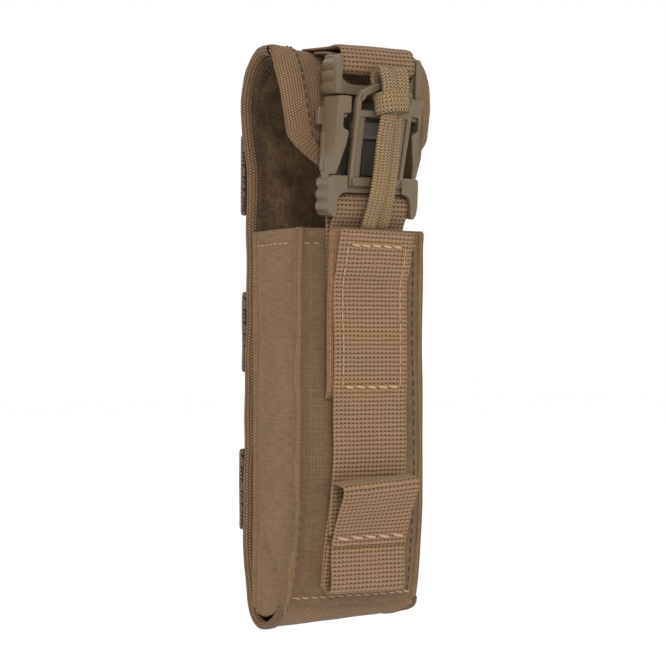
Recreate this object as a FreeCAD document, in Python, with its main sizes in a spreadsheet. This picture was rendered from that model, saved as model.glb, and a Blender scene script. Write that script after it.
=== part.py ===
import FreeCAD, Part
import Sketcher
import math
import os

# Tactical flashlight pouch: a narrow fabric pouch on a stiff back panel, a hood
# (flap) that arches over the mouth, a quick release buckle between the hood and
# the front, and a cord that pulls the buckle's release lever.
# Design axes: X to the right, Y towards the back, Z up.  Sketches are drawn with
# Y = 0 near the middle of the pouch's depth and Z = 0 about 2 mm below the
# bottom sling.  Every piece is then moved so that the origin is the centre of the
# middle attachment row's rear face.

V = FreeCAD.Vector
doc = FreeCAD.newDocument("flashlight_pouch")
sheet = doc.addObject("Spreadsheet::Sheet", "Dims")

DIMS = [
    ("web_width", 25.4, "width of all the webbing"),
    ("web_thick", 1.5, "thickness of the webbing"),
    ("row_pitch", 50.8, "height pitch of the attachment rows"),
    ("row_height", 25.4, "height of one attachment row"),
    ("mount_y", 22.0, "rear face of the attachment rows"),
    ("mount_z", 96.6, "centre of the middle attachment row"),
    ("half_width", 24.5, "half width of the back panel"),
    ("back_in", 16.0, "inner face of the back panel"),
    ("back_out", 18.0, "outer face of the back panel"),
    ("back_bottom", 9.0, "lower edge of the back panel"),
    ("back_top", 166.0, "upper edge of the back panel, where the hood bends"),
    ("lining_thick", 0.8, "thickness of the loop lining"),
    ("lining_width", 44.0, "width of the loop lining"),
    ("fabric_thick", 1.2, "thickness of the pouch fabric"),
    ("mouth_z", 129.0, "height of the pouch mouth"),
    ("front_top", 13.4, "front panel depth at the mouth"),
    ("front_high", 13.7, "front panel depth a third of the way down"),
    ("front_belly", 15.2, "front panel depth at its fullest"),
    ("front_mid", 14.2, "front panel depth at mid height"),
    ("front_low", 9.6, "front panel depth near the bottom"),
    ("front_bot", 3.5, "front panel depth at its lower edge"),
    ("front_bot_z", 9.5, "height of the front panel's lower edge"),
    ("gusset_out", 24.2, "outer face of the side gussets"),
    ("binding_thick", 1.0, "thickness of the edge binding"),
    ("hood_half", 25.0, "half width of the hood"),
    ("hood_thick", 1.6, "thickness of the hood fabric"),
    ("overlay_half", 13.6, "half width of the overlay tab"),
    ("overlay_thick", 0.7, "thickness of the overlay tab"),
    ("tilt_deg", 5.0, "forward tilt of the buckle"),
    ("lever_tilt_deg", 10.0, "forward tilt of the release lever"),
    ("buckle_y", -17.0, "depth of the buckle's lower cross member"),
    ("buckle_z", 141.0, "height of the buckle's lower cross member"),
    ("bar_low", -4.6, "lower strap bar, height in the buckle"),
    ("bar_rad", 1.6, "radius of the buckle's strap bars"),
    ("bar_span", 39.0, "upper strap bar, height in the buckle"),
    ("tab_in", 12.9, "inner face of the buckle's side tabs"),
    ("tab_top_out", 14.9, "outer face of the upper side tabs"),
    ("tab_low_out", 15.4, "outer face of the lower side tabs"),
    ("lever_half", 9.9, "half width of the release lever"),
    ("lever_thick", 2.6, "thickness of the release lever"),
    ("lever_pivot_y", -4.5, "release lever pivot, depth in the buckle"),
    ("lever_pivot_z", 2.0, "release lever pivot, height in the buckle"),
    ("pin_rad", 0.8, "radius of the release lever's pivot pins"),
    ("pin_clear", 0.1, "radial clearance of the pivot"),
    ("cord_dia", 4.0, "diameter of the pull cord"),
    ("cord_half_gap", 2.1, "half distance between the cord's two legs"),
    ("snap_rad", 6.5, "radius of the snap cap"),
    ("pull_tab_lean", 27.7, "forward lean of the folded pull tab"),
    ("pull_tab_len", 21.1, "length of the folded pull tab"),
]

DIM = {}


class Dim:
    """A number that also knows its own spreadsheet expression."""

    def __init__(self, value, text):
        self.v = float(value)
        self.s = text

    @staticmethod
    def of(x):
        return x if isinstance(x, Dim) else Dim(x, repr(float(x)))

    def __add__(self, o):
        o = Dim.of(o)
        return Dim(self.v + o.v, "(%s + %s)" % (self.s, o.s))

    def __radd__(self, o):
        return Dim.of(o) + self

    def __sub__(self, o):
        o = Dim.of(o)
        return Dim(self.v - o.v, "(%s - %s)" % (self.s, o.s))

    def __rsub__(self, o):
        return Dim.of(o) - self

    def __mul__(self, o):
        o = Dim.of(o)
        return Dim(self.v * o.v, "(%s * %s)" % (self.s, o.s))

    def __rmul__(self, o):
        return Dim.of(o) * self

    def __neg__(self):
        return Dim(0.0 - self.v, "(0 - %s)" % self.s)


for row, (name, value, note) in enumerate(DIMS, start=1):
    sheet.set("A%d" % row, name)
    sheet.set("B%d" % row, str(value))
    sheet.set("C%d" % row, note)
    sheet.setAlias("B%d" % row, name)
    DIM[name] = Dim(value, "Dims.%s" % name)
doc.recompute()


class G:
    pass


g = G()
for key, dim in DIM.items():
    setattr(g, key, dim)

PARTS = []          # objects whose shapes are written out


def bind(obj, prop, value):
    value = Dim.of(value)
    obj.setExpression(prop, value.s)


def place(obj, x=0.0):
    """Move a piece from the design axes to the mount's axes."""
    bind(obj, "Placement.Base.x", x)
    bind(obj, "Placement.Base.y", -g.mount_y)
    bind(obj, "Placement.Base.z", -g.mount_z)


def keep(obj, label):
    obj.Label = label
    PARTS.append(obj)
    return obj


def origin_plane(body, role):
    for feature in body.Origin.OriginFeatures:
        if feature.Role == role:
            return feature
    raise ValueError(role)


def polygon_sketch(body, name, role, points):
    sk = body.newObject("Sketcher::SketchObject", name)
    sk.AttachmentSupport = (origin_plane(body, role), [""])
    sk.MapMode = "FlatFace"
    pts = [(Dim.of(a), Dim.of(b)) for a, b in points]
    n = len(pts)
    for i in range(n):
        a, b = pts[i], pts[(i + 1) % n]
        sk.addGeometry(Part.LineSegment(V(a[0].v, a[1].v, 0), V(b[0].v, b[1].v, 0)), False)
    for i in range(n):
        sk.addConstraint(Sketcher.Constraint("Coincident", i, 2, (i + 1) % n, 1))
    for i, p in enumerate(pts):
        for kind, value in (("DistanceX", p[0]), ("DistanceY", p[1])):
            k = sk.addConstraint(Sketcher.Constraint(kind, -1, 1, i, 1, value.v))
            if "Dims." in value.s:
                sk.setExpression("Constraints[%d]" % k, value.s)
    return sk


def side_profile(name, points, width):
    """A body padded evenly to both sides of the YZ plane."""
    body = doc.addObject("PartDesign::Body", name)
    sk = polygon_sketch(body, name + "_profile", "YZ_Plane", points)
    pad = body.newObject("PartDesign::Pad", name + "_pad")
    pad.Profile = sk
    pad.SideType = "Symmetric"
    bind(pad, "Length", width)
    return body


def top_profile(name, points, height):
    """A body padded upwards from the XY plane."""
    body = doc.addObject("PartDesign::Body", name)
    sk = polygon_sketch(body, name + "_profile", "XY_Plane", points)
    pad = body.newObject("PartDesign::Pad", name + "_pad")
    pad.Profile = sk
    bind(pad, "Length", height)
    return body


def front_profile(name, points, depth, rear=0.0, pockets=()):
    """A body padded evenly to both sides of the XZ plane, with openings."""
    body = doc.addObject("PartDesign::Body", name)
    sk = polygon_sketch(body, name + "_profile", "XZ_Plane", points)
    pad = body.newObject("PartDesign::Pad", name + "_pad")
    pad.Profile = sk
    pad.SideType = "Symmetric"
    bind(pad, "Length", depth)
    for i, hole in enumerate(pockets):
        hs = polygon_sketch(body, "%s_window%d" % (name, i), "XZ_Plane", hole)
        cut = body.newObject("PartDesign::Pocket", "%s_cut%d" % (name, i))
        cut.Profile = hs
        cut.Type = "ThroughAll"
        cut.SideType = "Symmetric"
    return body


def box(name, x0, x1, y0, y1, z0, z1):
    b = doc.addObject("Part::Box", name)
    x0, x1, y0, y1, z0, z1 = [Dim.of(c) for c in (x0, x1, y0, y1, z0, z1)]
    bind(b, "Length", x1 - x0)
    bind(b, "Width", y1 - y0)
    bind(b, "Height", z1 - z0)
    bind(b, "Placement.Base.x", x0)
    bind(b, "Placement.Base.y", y0)
    bind(b, "Placement.Base.z", z0)
    return b


def rod_x(name, radius, x0, x1, y, z):
    """A round bar along X."""
    c = doc.addObject("Part::Cylinder", name)
    x0, x1 = Dim.of(x0), Dim.of(x1)
    bind(c, "Radius", radius)
    bind(c, "Height", x1 - x0)
    c.Placement = FreeCAD.Placement(V(x0.v, Dim.of(y).v, Dim.of(z).v),
                                    FreeCAD.Rotation(V(0, 1, 0), 90))
    return c


def fuse(name, pieces):
    f = doc.addObject("Part::MultiFuse", name)
    f.Shapes = pieces
    return f


def cut(name, base, tool):
    c = doc.addObject("Part::Cut", name)
    c.Base = base
    c.Tool = tool
    return c


def offset_to_mount():
    return FreeCAD.Placement(V(0, -g.mount_y.v, -g.mount_z.v), FreeCAD.Rotation())


# ---------------------------------------------------------------- back panel
w2 = g.half_width * 2
back = side_profile("back_panel_body", [
    (g.back_in, g.back_bottom), (g.back_out, g.back_bottom),
    (g.back_out, g.back_top), (g.back_in, g.back_top)], w2)
place(keep(back, "back_panel"))

lining = side_profile("back_lining_body", [
    (g.back_in - g.lining_thick, 12.0), (g.back_in, 12.0),
    (g.back_in, g.back_top), (g.back_in - g.lining_thick, g.back_top)], g.lining_width)
place(keep(lining, "back_lining"))

for side, sign in (("left", -1.0), ("right", 1.0)):
    b = side_profile("edge_binding_%s_body" % side, [
        (g.back_in - 1.0, 12.0), (g.back_out + 1.0, 12.0),
        (g.back_out + 1.0, g.back_top - 0.6), (g.back_in - 1.0, g.back_top - 0.6)], g.binding_thick)
    place(keep(b, "edge_binding_%s" % side), sign * (g.half_width + g.binding_thick * 0.5))

# ---------------------------------------------------------- attachment rows
row_pts = [
    (-g.half_width, g.back_out), (-22.0, g.back_out),
    (-17.0, g.mount_y - g.web_thick), (17.0, g.mount_y - g.web_thick),
    (22.0, g.back_out), (g.half_width, g.back_out),
    (g.half_width, g.back_out + g.web_thick), (17.5, g.mount_y),
    (-17.5, g.mount_y), (-g.half_width, g.back_out + g.web_thick)]
for label, step in (("pals_row_top", 1.0), ("pals_row_middle", 0.0), ("pals_row_bottom", -1.0)):
    r = top_profile(label + "_body", row_pts, g.row_height)
    keep(r, label)
    bind(r, "Placement.Base.y", -g.mount_y)
    bind(r, "Placement.Base.z", g.row_pitch * step - g.row_height * 0.5)

strap = side_profile("attachment_strap_body", [
    (g.back_out, 14.0), (g.back_out + g.web_thick, 14.0),
    (g.back_out + g.web_thick, 162.0), (g.back_out, 162.0)], g.web_width)
place(keep(strap, "attachment_strap"))

cap = doc.addObject("Part::Cylinder", "snap_cap_disc")
bind(cap, "Radius", g.snap_rad)
cap.Height = 1.7
cap.Placement = FreeCAD.Placement(V(0, g.back_out.v + g.web_thick.v - g.mount_y.v, 22.0 - g.mount_z.v),
                                  FreeCAD.Rotation(V(1, 0, 0), -90))
keep(cap, "snap_cap")
stud = doc.addObject("Part::Cylinder", "snap_rivet_disc")
bind(stud, "Radius", g.snap_rad - 1.5)
stud.Height = 0.8
stud.Placement = FreeCAD.Placement(
    V(0, g.back_in.v - g.lining_thick.v - 0.8 - g.mount_y.v, 22.0 - g.mount_z.v),
    FreeCAD.Rotation(V(1, 0, 0), -90))
keep(stud, "snap_rivet")

# --------------------------------------------------------------- pouch body
outer_front = [(-g.front_top, g.mouth_z), (-g.front_high, 106.0), (-g.front_high, 90.0),
               (-g.front_mid, 75.0), (-g.front_belly, 55.0), (-g.front_mid, 40.0), (-13.0, 33.0),
               (-g.front_low, 16.0), (-g.front_bot, g.front_bot_z)]
inner_front = [(y + g.fabric_thick, z) for y, z in reversed(outer_front)]
gw = g.gusset_out - g.fabric_thick
front = side_profile("front_panel_body", outer_front + inner_front, gw * 2)
place(keep(front, "front_panel"))

for side, sign in (("left", -1.0), ("right", 1.0)):
    b = side_profile("side_gusset_%s_body" % side,
                     outer_front + [(g.back_in, 10.5), (g.back_in, g.mouth_z)], g.fabric_thick)
    place(keep(b, "side_gusset_%s" % side), sign * (g.gusset_out - g.fabric_thick * 0.5))

sling = side_profile("bottom_sling_body", [
    (g.back_out, g.back_bottom), (13.0, 3.4), (7.5, 2.2), (-g.front_bot, 7.6),
    (-g.front_bot, g.front_bot_z), (-g.front_bot + g.fabric_thick, g.front_bot_z),
    (-g.front_bot + g.fabric_thick + 0.4, 8.3), (7.5, 3.5), (12.3, 4.6),
    (g.back_in + 0.5, g.back_bottom)], w2)
place(keep(sling, "bottom_sling"))

# ------------------------------------------------------- straps on the front
strap_profile = side_profile("lower_strap_profile_body", [
    (-13.92, 84.0), (-g.front_high, 90.0), (-g.front_high, 106.0), (-g.front_top, g.mouth_z),
    (-13.2, 133.0), (-13.4, 136.4), (-14.5, 138.7), (-16.6, 139.55), (-18.9, 138.9),
    (-20.4, 136.4), (-19.4, 133.6), (-16.3, 129.4), (-16.15, 111.0), (-16.15, 90.0),
    (-16.1, 84.0)], g.web_width)
low_bar = FreeCAD.Placement(V(0, g.buckle_y.v, g.buckle_z.v),
                            FreeCAD.Rotation(V(1, 0, 0), g.tilt_deg.v)).multVec(V(0, 0, g.bar_low.v))
strap_hole = rod_x("lower_strap_eye", g.bar_rad + 0.15, -13.5, 13.5, low_bar.y, low_bar.z)
ls = cut("lower_strap_cut", strap_profile, strap_hole)
ls.Placement = offset_to_mount()
keep(ls, "lower_strap")

overlay_back = [(-14.4, 75.5), (-16.2, 82.0), (-16.25, 90.0), (-16.4, 111.0),
                (-18.7, 117.0), (-20.75, 124.5), (-21.8, 129.2)]
ov_shift = Dim.of(0) - g.overlay_thick
overlay = side_profile("overlay_tab_body",
                       overlay_back + [(Dim.of(y) + ov_shift, z) for y, z in reversed(overlay_back)],
                       g.overlay_half * 2)
place(keep(overlay, "overlay_tab"))

fw_back = [(-22.85, 130.2), (-21.5, 124.5), (-19.4, 117.0), (-17.1, 111.0), (-16.95, 90.0),
           (-16.9, 82.0), (-16.6, 75.0), (-16.6, 60.0), (-16.4, 50.0), (-13.05, 33.0),
           (-9.75, 16.5)]
fw = side_profile("front_webbing_body",
                  fw_back + [(Dim.of(y) - g.web_thick, z) for y, z in reversed(fw_back)],
                  g.web_width)
place(keep(fw, "front_webbing"))

anchor = side_profile("tab_anchor_loop_body", [
    (-13.86, 29.3), (-16.8, 29.3), (-14.2, 15.5), (-11.15, 15.5), (-11.3, 16.6)], g.web_width)
place(keep(anchor, "tab_anchor_loop"))

# folded pull tab: a round root about its fold line, then a leaning flat blade
PT_Y, PT_Z, PT_R = -16.4, 31.0, 1.3
lean = math.radians(g.pull_tab_lean.v)
dy, dz = -math.sin(lean), math.cos(lean)
ny, nz = math.cos(lean), math.sin(lean)
tab_len = g.pull_tab_len.v
root_arc = []
for k in range(0, 9):
    a = math.pi * k / 8.0
    root_arc.append((PT_Y + PT_R * (ny * math.cos(a) - dy * math.sin(a)),
                     PT_Z + PT_R * (nz * math.cos(a) - dz * math.sin(a))))
tip = [(PT_Y + dy * tab_len - ny * PT_R, PT_Z + dz * tab_len - nz * PT_R),
       (PT_Y + dy * tab_len + ny * PT_R, PT_Z + dz * tab_len + nz * PT_R)]
pt = side_profile("pull_tab_body", root_arc + tip, g.web_width)
place(keep(pt, "pull_tab"))

# --------------------------------------------------------------------- hood
hood_out = [(g.back_out, 166.3), (17.2, 173.0), (13.0, 180.5), (8.0, 185.3), (2.6, 188.0),
            (-3.0, 187.6), (-8.0, 184.5), (-11.9, 177.5), (-12.4, 168.0), (-12.3, 163.0)]
hood_in = [(-10.7, 163.0), (-10.8, 167.8), (-10.3, 177.0), (-7.0, 183.3),
           (-2.7, 186.0), (2.4, 186.4), (7.2, 183.8), (11.7, 179.4), (15.6, 172.6),
           (g.back_out - g.hood_thick, 166.3)]
hood = side_profile("flap_shell_body", hood_out + hood_in, g.hood_half * 2)
place(keep(hood, "flap_shell"))

# the hood's front tongue, soft and tapered, hangs behind the buckle
tongue_strip = side_profile("flap_tongue_strip", [
    (-12.3, 163.0), (-11.9, 158.0), (-11.6, 147.0), (-10.0, 147.0), (-10.3, 158.0),
    (-10.7, 163.0)], g.hood_half * 2)
tongue_outline = front_profile("flap_tongue_outline", [
    (-g.hood_half, 165.0), (-g.hood_half, 162.6), (-21.0, 152.5), (-14.0, 147.6),
    (14.0, 147.6), (21.0, 152.5), (g.hood_half, 162.6), (g.hood_half, 165.0)], 60.0)
tongue = doc.addObject("Part::Common", "flap_tongue_common")
tongue.Base = tongue_strip
tongue.Tool = tongue_outline
tongue.Placement = offset_to_mount()
keep(tongue, "flap_tongue")

lin_out = [(-10.72, 164.0)] + hood_in[1:]
lin_in = [(g.back_out - g.hood_thick - g.lining_thick, 166.3), (14.8, 172.3), (11.1, 178.9),
          (6.8, 183.1), (2.3, 185.5), (-2.5, 185.2), (-6.5, 182.6), (-9.6, 176.7),
          (-10.0, 167.6), (-9.9, 164.0)]
hl = side_profile("flap_lining_body", lin_out + lin_in, g.lining_width - 2.0)
place(keep(hl, "flap_lining"))

# --------------------------------------------------- buckle's own placement
tilt = FreeCAD.Rotation(V(1, 0, 0), g.tilt_deg.v)
buckle_at = FreeCAD.Placement(
    V(0, g.buckle_y.v - g.mount_y.v, g.buckle_z.v - g.mount_z.v), tilt)
bar_top = FreeCAD.Placement(V(0, g.buckle_y.v, g.buckle_z.v), tilt).multVec(V(0, 0, g.bar_span.v))

us_profile = side_profile("upper_strap_profile_body", [
    (2.5, 188.1), (-3.0, 187.7), (-10.0, 185.2), (-17.4, 182.2), (-17.3, 180.0),
    (-18.3, 178.0), (-20.6, 176.9), (-22.8, 177.6), (-24.0, 180.2), (-23.5, 183.0),
    (-21.2, 184.8), (-11.0, 187.4), (-3.0, 189.3), (2.5, 189.6)], g.web_width)
us_hole = rod_x("upper_strap_eye", g.bar_rad + 0.15, -13.5, 13.5, bar_top.y, bar_top.z)
us = cut("upper_strap_cut", us_profile, us_hole)
us.Placement = offset_to_mount()
keep(us, "upper_strap")

# ------------------------------------------------------- buckle, upper half
pieces = [rod_x("top_bar", g.bar_rad, -g.tab_in - 0.2, g.tab_in + 0.2, 0, g.bar_span),
          box("cross_bar", -g.tab_in - 0.2, g.tab_in + 0.2, -1.2, 1.8, 28.8, 31.9)]
for sign in (-1, 1):
    tag = "left" if sign < 0 else "right"
    x0, x1 = (-g.tab_top_out, -g.tab_in) if sign < 0 else (g.tab_in, g.tab_top_out)
    pieces.append(box("top_tab_" + tag, x0, x1, -5.2, 4.9, 28.8, 40.6))
    x0, x1 = (-13.4, -11.8) if sign < 0 else (11.8, 13.4)
    pieces.append(box("prong_" + tag, x0, x1, -1.2, 1.8, 22.4, 29.4))
top = fuse("buckle_top_fuse", pieces)
top.Placement = buckle_at
keep(top, "buckle_top")

# ------------------------------------------------------- buckle, lower half
pieces = [rod_x("bottom_bar", g.bar_rad, -g.tab_in - 0.2, g.tab_in + 0.2, 0, g.bar_low),
          box("cross_member", -g.tab_in - 0.2, g.tab_in + 0.2, -2.4, 2.4, -1.2, 1.2),
          box("back_plate", -9.5, 9.5, 1.2, 2.7, -1.0, 27.5)]
for sign in (-1, 1):
    tag = "left" if sign < 0 else "right"
    x0, x1 = (-g.tab_low_out, -g.tab_in) if sign < 0 else (g.tab_in, g.tab_low_out)
    pieces.append(box("low_tab_" + tag, x0, x1, -5.3, 5.5, -8.8, 3.8))
    w0, w1 = (-g.tab_in - 0.2, -10.0) if sign < 0 else (10.0, g.tab_in + 0.2)
    pieces.append(box("corner_wall_" + tag, w0, w1, -5.3, -2.2, -1.2, 3.8))
    x0, x1 = (-g.tab_in - 0.3, -8.2) if sign < 0 else (8.2, g.tab_in + 0.3)
    pieces.append(rod_x("lever_pin_" + tag, g.pin_rad, x0, x1, g.lever_pivot_y, g.lever_pivot_z))
base = fuse("buckle_base_fuse", pieces)
base.Placement = buckle_at
keep(base, "buckle_base")

# ------------------------------------------------------------ latch arms
for sign in (-1, 1):
    tag = "left" if sign < 0 else "right"
    pts = [(15.2, 4.3), (14.9, 28.1), (10.5, 28.1), (10.5, 18.2), (11.2, 17.0), (13.4, 4.3)]
    pts = [(sign * x, z) for x, z in pts]
    arm = front_profile("latch_arm_%s_blade" % tag, pts, 13.5)
    arm.Placement = FreeCAD.Placement(V(0, -1.25, 0), FreeCAD.Rotation())
    x0, x1 = (-13.9, -10.0) if sign < 0 else (10.0, 13.9)
    pocket = box("latch_arm_%s_pocket" % tag, x0, x1, -3.6, 4.0, 18.6, 29.0)
    solid = cut("latch_arm_%s_cut" % tag, arm, pocket)
    solid.Placement = buckle_at
    keep(solid, "latch_arm_%s" % tag)

# -------------------------------------------------------- release lever
pivot = buckle_at.multVec(V(0, g.lever_pivot_y.v, g.lever_pivot_z.v))
lever_at = FreeCAD.Placement(pivot, FreeCAD.Rotation(V(1, 0, 0), g.lever_tilt_deg.v))
lever_plate = front_profile("release_lever_plate", [
    (-9.5, -1.0), (9.5, -1.0), (g.lever_half, 25.6), (8.7, 28.6), (3.0, 31.0), (-3.0, 31.0),
    (-8.7, 28.6), (-g.lever_half, 25.6)], g.lever_thick,
    pockets=[[(-5.6, 2.2), (5.6, 2.2), (5.6, 20.3), (-5.6, 20.3)],
             [(-7.2, 22.4), (7.2, 22.4), (7.4, 25.4), (6.6, 27.2), (2.6, 28.8), (-2.6, 28.8),
              (-6.6, 27.2), (-7.4, 25.4)]])
bore = rod_x("release_lever_bore", g.pin_rad + g.pin_clear, -10.5, 10.5, 0, 0)
lever_cut = cut("release_lever_cut", lever_plate, bore)
lever_cut.Placement = lever_at
keep(lever_cut, "release_lever")

# -------------------------------------------------------------- pull cord
hitch = fuse("pull_cord_hitch_fuse", [
    box("hitch_front", -5.2, 7.2, -5.4, -1.35, 21.0, 33.6),
    box("hitch_top", -5.2, 7.2, -5.4, 3.4, 31.1, 33.6),
    box("hitch_back", -5.0, 7.0, 1.35, 3.4, 26.0, 33.6)])
hitch.Placement = lever_at
keep(hitch, "pull_cord_hitch")


def tube_wire(points):
    """Straight runs joined by tangent arcs, each arc as large as its runs allow."""
    edges = []
    start = points[0]
    for i in range(1, len(points) - 1):
        a, b, c = points[i - 1], points[i], points[i + 1]
        u = (b - a).normalize()
        v = (c - b).normalize()
        turn = u.getAngle(v)
        run = min((b - a).Length, (c - b).Length)
        cut_back = 0.45 * run
        radius = cut_back / math.tan(turn / 2.0)
        print("cord arc radius %.1f mm" % radius)
        p0 = b - u * cut_back
        p1 = b + v * cut_back
        centre_dir = (v - u).normalize()
        centre = b + centre_dir * (radius / math.cos(turn / 2.0))
        mid = centre - centre_dir * radius
        edges.append(Part.LineSegment(start, p0).toShape())
        edges.append(Part.Arc(p0, mid, p1).toShape())
        start = p1
    edges.append(Part.LineSegment(start, points[-1]).toShape())
    return Part.Wire(edges)


legs = []
for sign in (-1, 1):
    x = 1.0 + sign * g.cord_half_gap.v
    route = [V(x, -18.5, 125.0), V(x, -20.3, 131.0), V(x, -25.0, 138.0), V(x, -27.2, 147.0),
             V(x, -30.6, 161.2)]
    wire = tube_wire(route)
    tangent = (route[1] - route[0]).normalize()
    circle = Part.Wire(Part.Circle(route[0], tangent, g.cord_dia.v / 2.0).toShape())
    leg = wire.makePipeShell([circle], True, False)
    expected = math.pi * (g.cord_dia.v / 2.0) ** 2 * wire.Length
    print("cord leg length %.1f mm, volume %.1f of %.1f" % (wire.Length, leg.Volume, expected))
    legs.append(leg)
cord = doc.addObject("Part::Feature", "pull_cord_legs_tubes")
cord.Shape = Part.makeCompound(legs)
cord.Placement = offset_to_mount()
keep(cord, "pull_cord_legs")

# ------------------------------------------------------------------ output
doc.recompute()
bad = []
for obj in doc.Objects:
    if "Invalid" in obj.State or "Error" in obj.State:
        bad.append("%s %s" % (obj.Name, obj.State))
for obj in PARTS:
    if obj.Shape.isNull() or not obj.Shape.isValid() or not obj.Shape.Solids:
        bad.append("%s has no valid solid" % obj.Label)
if bad:
    raise RuntimeError("; ".join(bad))

os.makedirs("parts", exist_ok=True)
for obj in PARTS:
    obj.Shape.exportStep("parts/%s.step" % obj.Label)
    bb = obj.Shape.BoundBox
    print("%-20s solids %d  vol %8.1f  X %.1f..%.1f Y %.1f..%.1f Z %.1f..%.1f" % (
        obj.Label, len(obj.Shape.Solids), obj.Shape.Volume,
        bb.XMin, bb.XMax, bb.YMin, bb.YMax, bb.ZMin, bb.ZMax))
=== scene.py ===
import math
import bpy
import numpy as np
from mathutils import Vector, Matrix


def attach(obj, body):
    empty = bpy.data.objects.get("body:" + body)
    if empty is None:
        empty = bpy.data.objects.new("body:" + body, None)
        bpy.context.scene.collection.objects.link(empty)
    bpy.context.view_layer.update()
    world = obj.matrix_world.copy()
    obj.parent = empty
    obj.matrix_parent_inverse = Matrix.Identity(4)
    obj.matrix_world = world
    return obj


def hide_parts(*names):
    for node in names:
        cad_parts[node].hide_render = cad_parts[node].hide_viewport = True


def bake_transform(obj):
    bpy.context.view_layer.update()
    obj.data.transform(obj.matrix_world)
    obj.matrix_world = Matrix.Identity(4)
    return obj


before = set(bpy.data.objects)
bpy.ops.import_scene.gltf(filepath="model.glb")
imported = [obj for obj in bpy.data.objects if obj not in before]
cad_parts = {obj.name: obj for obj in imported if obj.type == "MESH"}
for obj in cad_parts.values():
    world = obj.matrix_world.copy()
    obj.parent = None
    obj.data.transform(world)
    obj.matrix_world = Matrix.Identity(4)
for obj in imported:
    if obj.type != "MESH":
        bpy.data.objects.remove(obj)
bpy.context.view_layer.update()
scene = bpy.context.scene


# ------------------------------------------------------------------ camera
def P(x, y, z):
    """design millimetres -> row frame metres"""
    return Vector((x / 1000.0, (y - 22.0) / 1000.0, (z - 96.6) / 1000.0))


cam_data = bpy.data.cameras.new("camera")
cam_data.sensor_width = 36.0
cam_data.lens = 1781.0 / 666.0 * 36.0
cam_data.clip_start = 0.01
cam_data.clip_end = 50.0
cam = bpy.data.objects.new("camera", cam_data)
scene.collection.objects.link(cam)
target = P(-3.232, 0.0, 96.21)
az, el, dist = math.radians(-27.335), math.radians(-0.447), 0.57039
cam.location = target + Vector((math.sin(az) * math.cos(el), -math.cos(az) * math.cos(el),
                                math.sin(el))) * dist
cam.rotation_euler = (target - cam.location).to_track_quat("-Z", "Y").to_euler()
scene.camera = cam
scene.view_settings.view_transform = "Standard"
scene.view_settings.look = "None"


# --------------------------------------------------------------- materials
def lin(c):
    c = c / 255.0
    return c / 12.92 if c <= 0.04045 else ((c + 0.055) / 1.055) ** 2.4


def rgb(r, g, b, k=1.0):
    k = k if isinstance(k, tuple) else (k, k, k)
    return (lin(r) * k[0], lin(g) * k[1], lin(b) * k[2], 1.0)


class Nodes:
    def __init__(self, name):
        self.mat = bpy.data.materials.new(name)
        self.mat.use_nodes = True
        self.nt = self.mat.node_tree
        self.bsdf = self.nt.nodes["Principled BSDF"]

    def math(self, op, a, b=None, clamp=False):
        n = self.nt.nodes.new("ShaderNodeMath")
        n.operation = op
        n.use_clamp = clamp
        for i, v in enumerate((a, b)):
            if v is None:
                continue
            if isinstance(v, (int, float)):
                n.inputs[i].default_value = v
            else:
                self.nt.links.new(v, n.inputs[i])
        return n.outputs[0]

    def uv(self):
        n = self.nt.nodes.new("ShaderNodeUVMap")
        n.uv_map = "UVMap"
        s = self.nt.nodes.new("ShaderNodeSeparateXYZ")
        self.nt.links.new(n.outputs[0], s.inputs[0])
        return n.outputs[0], s.outputs[0], s.outputs[1]

    def noise(self, vec, scale, detail=3.0, rough=0.55, stretch=None):
        if stretch is not None:
            m = self.nt.nodes.new("ShaderNodeMapping")
            m.inputs["Scale"].default_value = stretch
            self.nt.links.new(vec, m.inputs[0])
            vec = m.outputs[0]
        n = self.nt.nodes.new("ShaderNodeTexNoise")
        n.inputs["Scale"].default_value = scale
        n.inputs["Detail"].default_value = detail
        n.inputs["Roughness"].default_value = rough
        self.nt.links.new(vec, n.inputs["Vector"])
        return n.outputs["Fac"] if "Fac" in n.outputs else n.outputs[0]

    def ramp(self, fac, stops):
        n = self.nt.nodes.new("ShaderNodeValToRGB")
        e = n.color_ramp.elements
        while len(e) < len(stops):
            e.new(0.5)
        for el_, (p, c) in zip(e, stops):
            el_.position = p
            el_.color = c
        self.nt.links.new(fac, n.inputs[0])
        return n.outputs[0]

    def link(self, out, socket):
        self.nt.links.new(out, self.bsdf.inputs[socket])

    def bump(self, h, distance, strength=1.0):
        n = self.nt.nodes.new("ShaderNodeBump")
        n.inputs["Distance"].default_value = distance
        n.inputs["Strength"].default_value = strength
        self.nt.links.new(h, n.inputs["Height"])
        self.nt.links.new(n.outputs[0], self.bsdf.inputs["Normal"])


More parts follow.
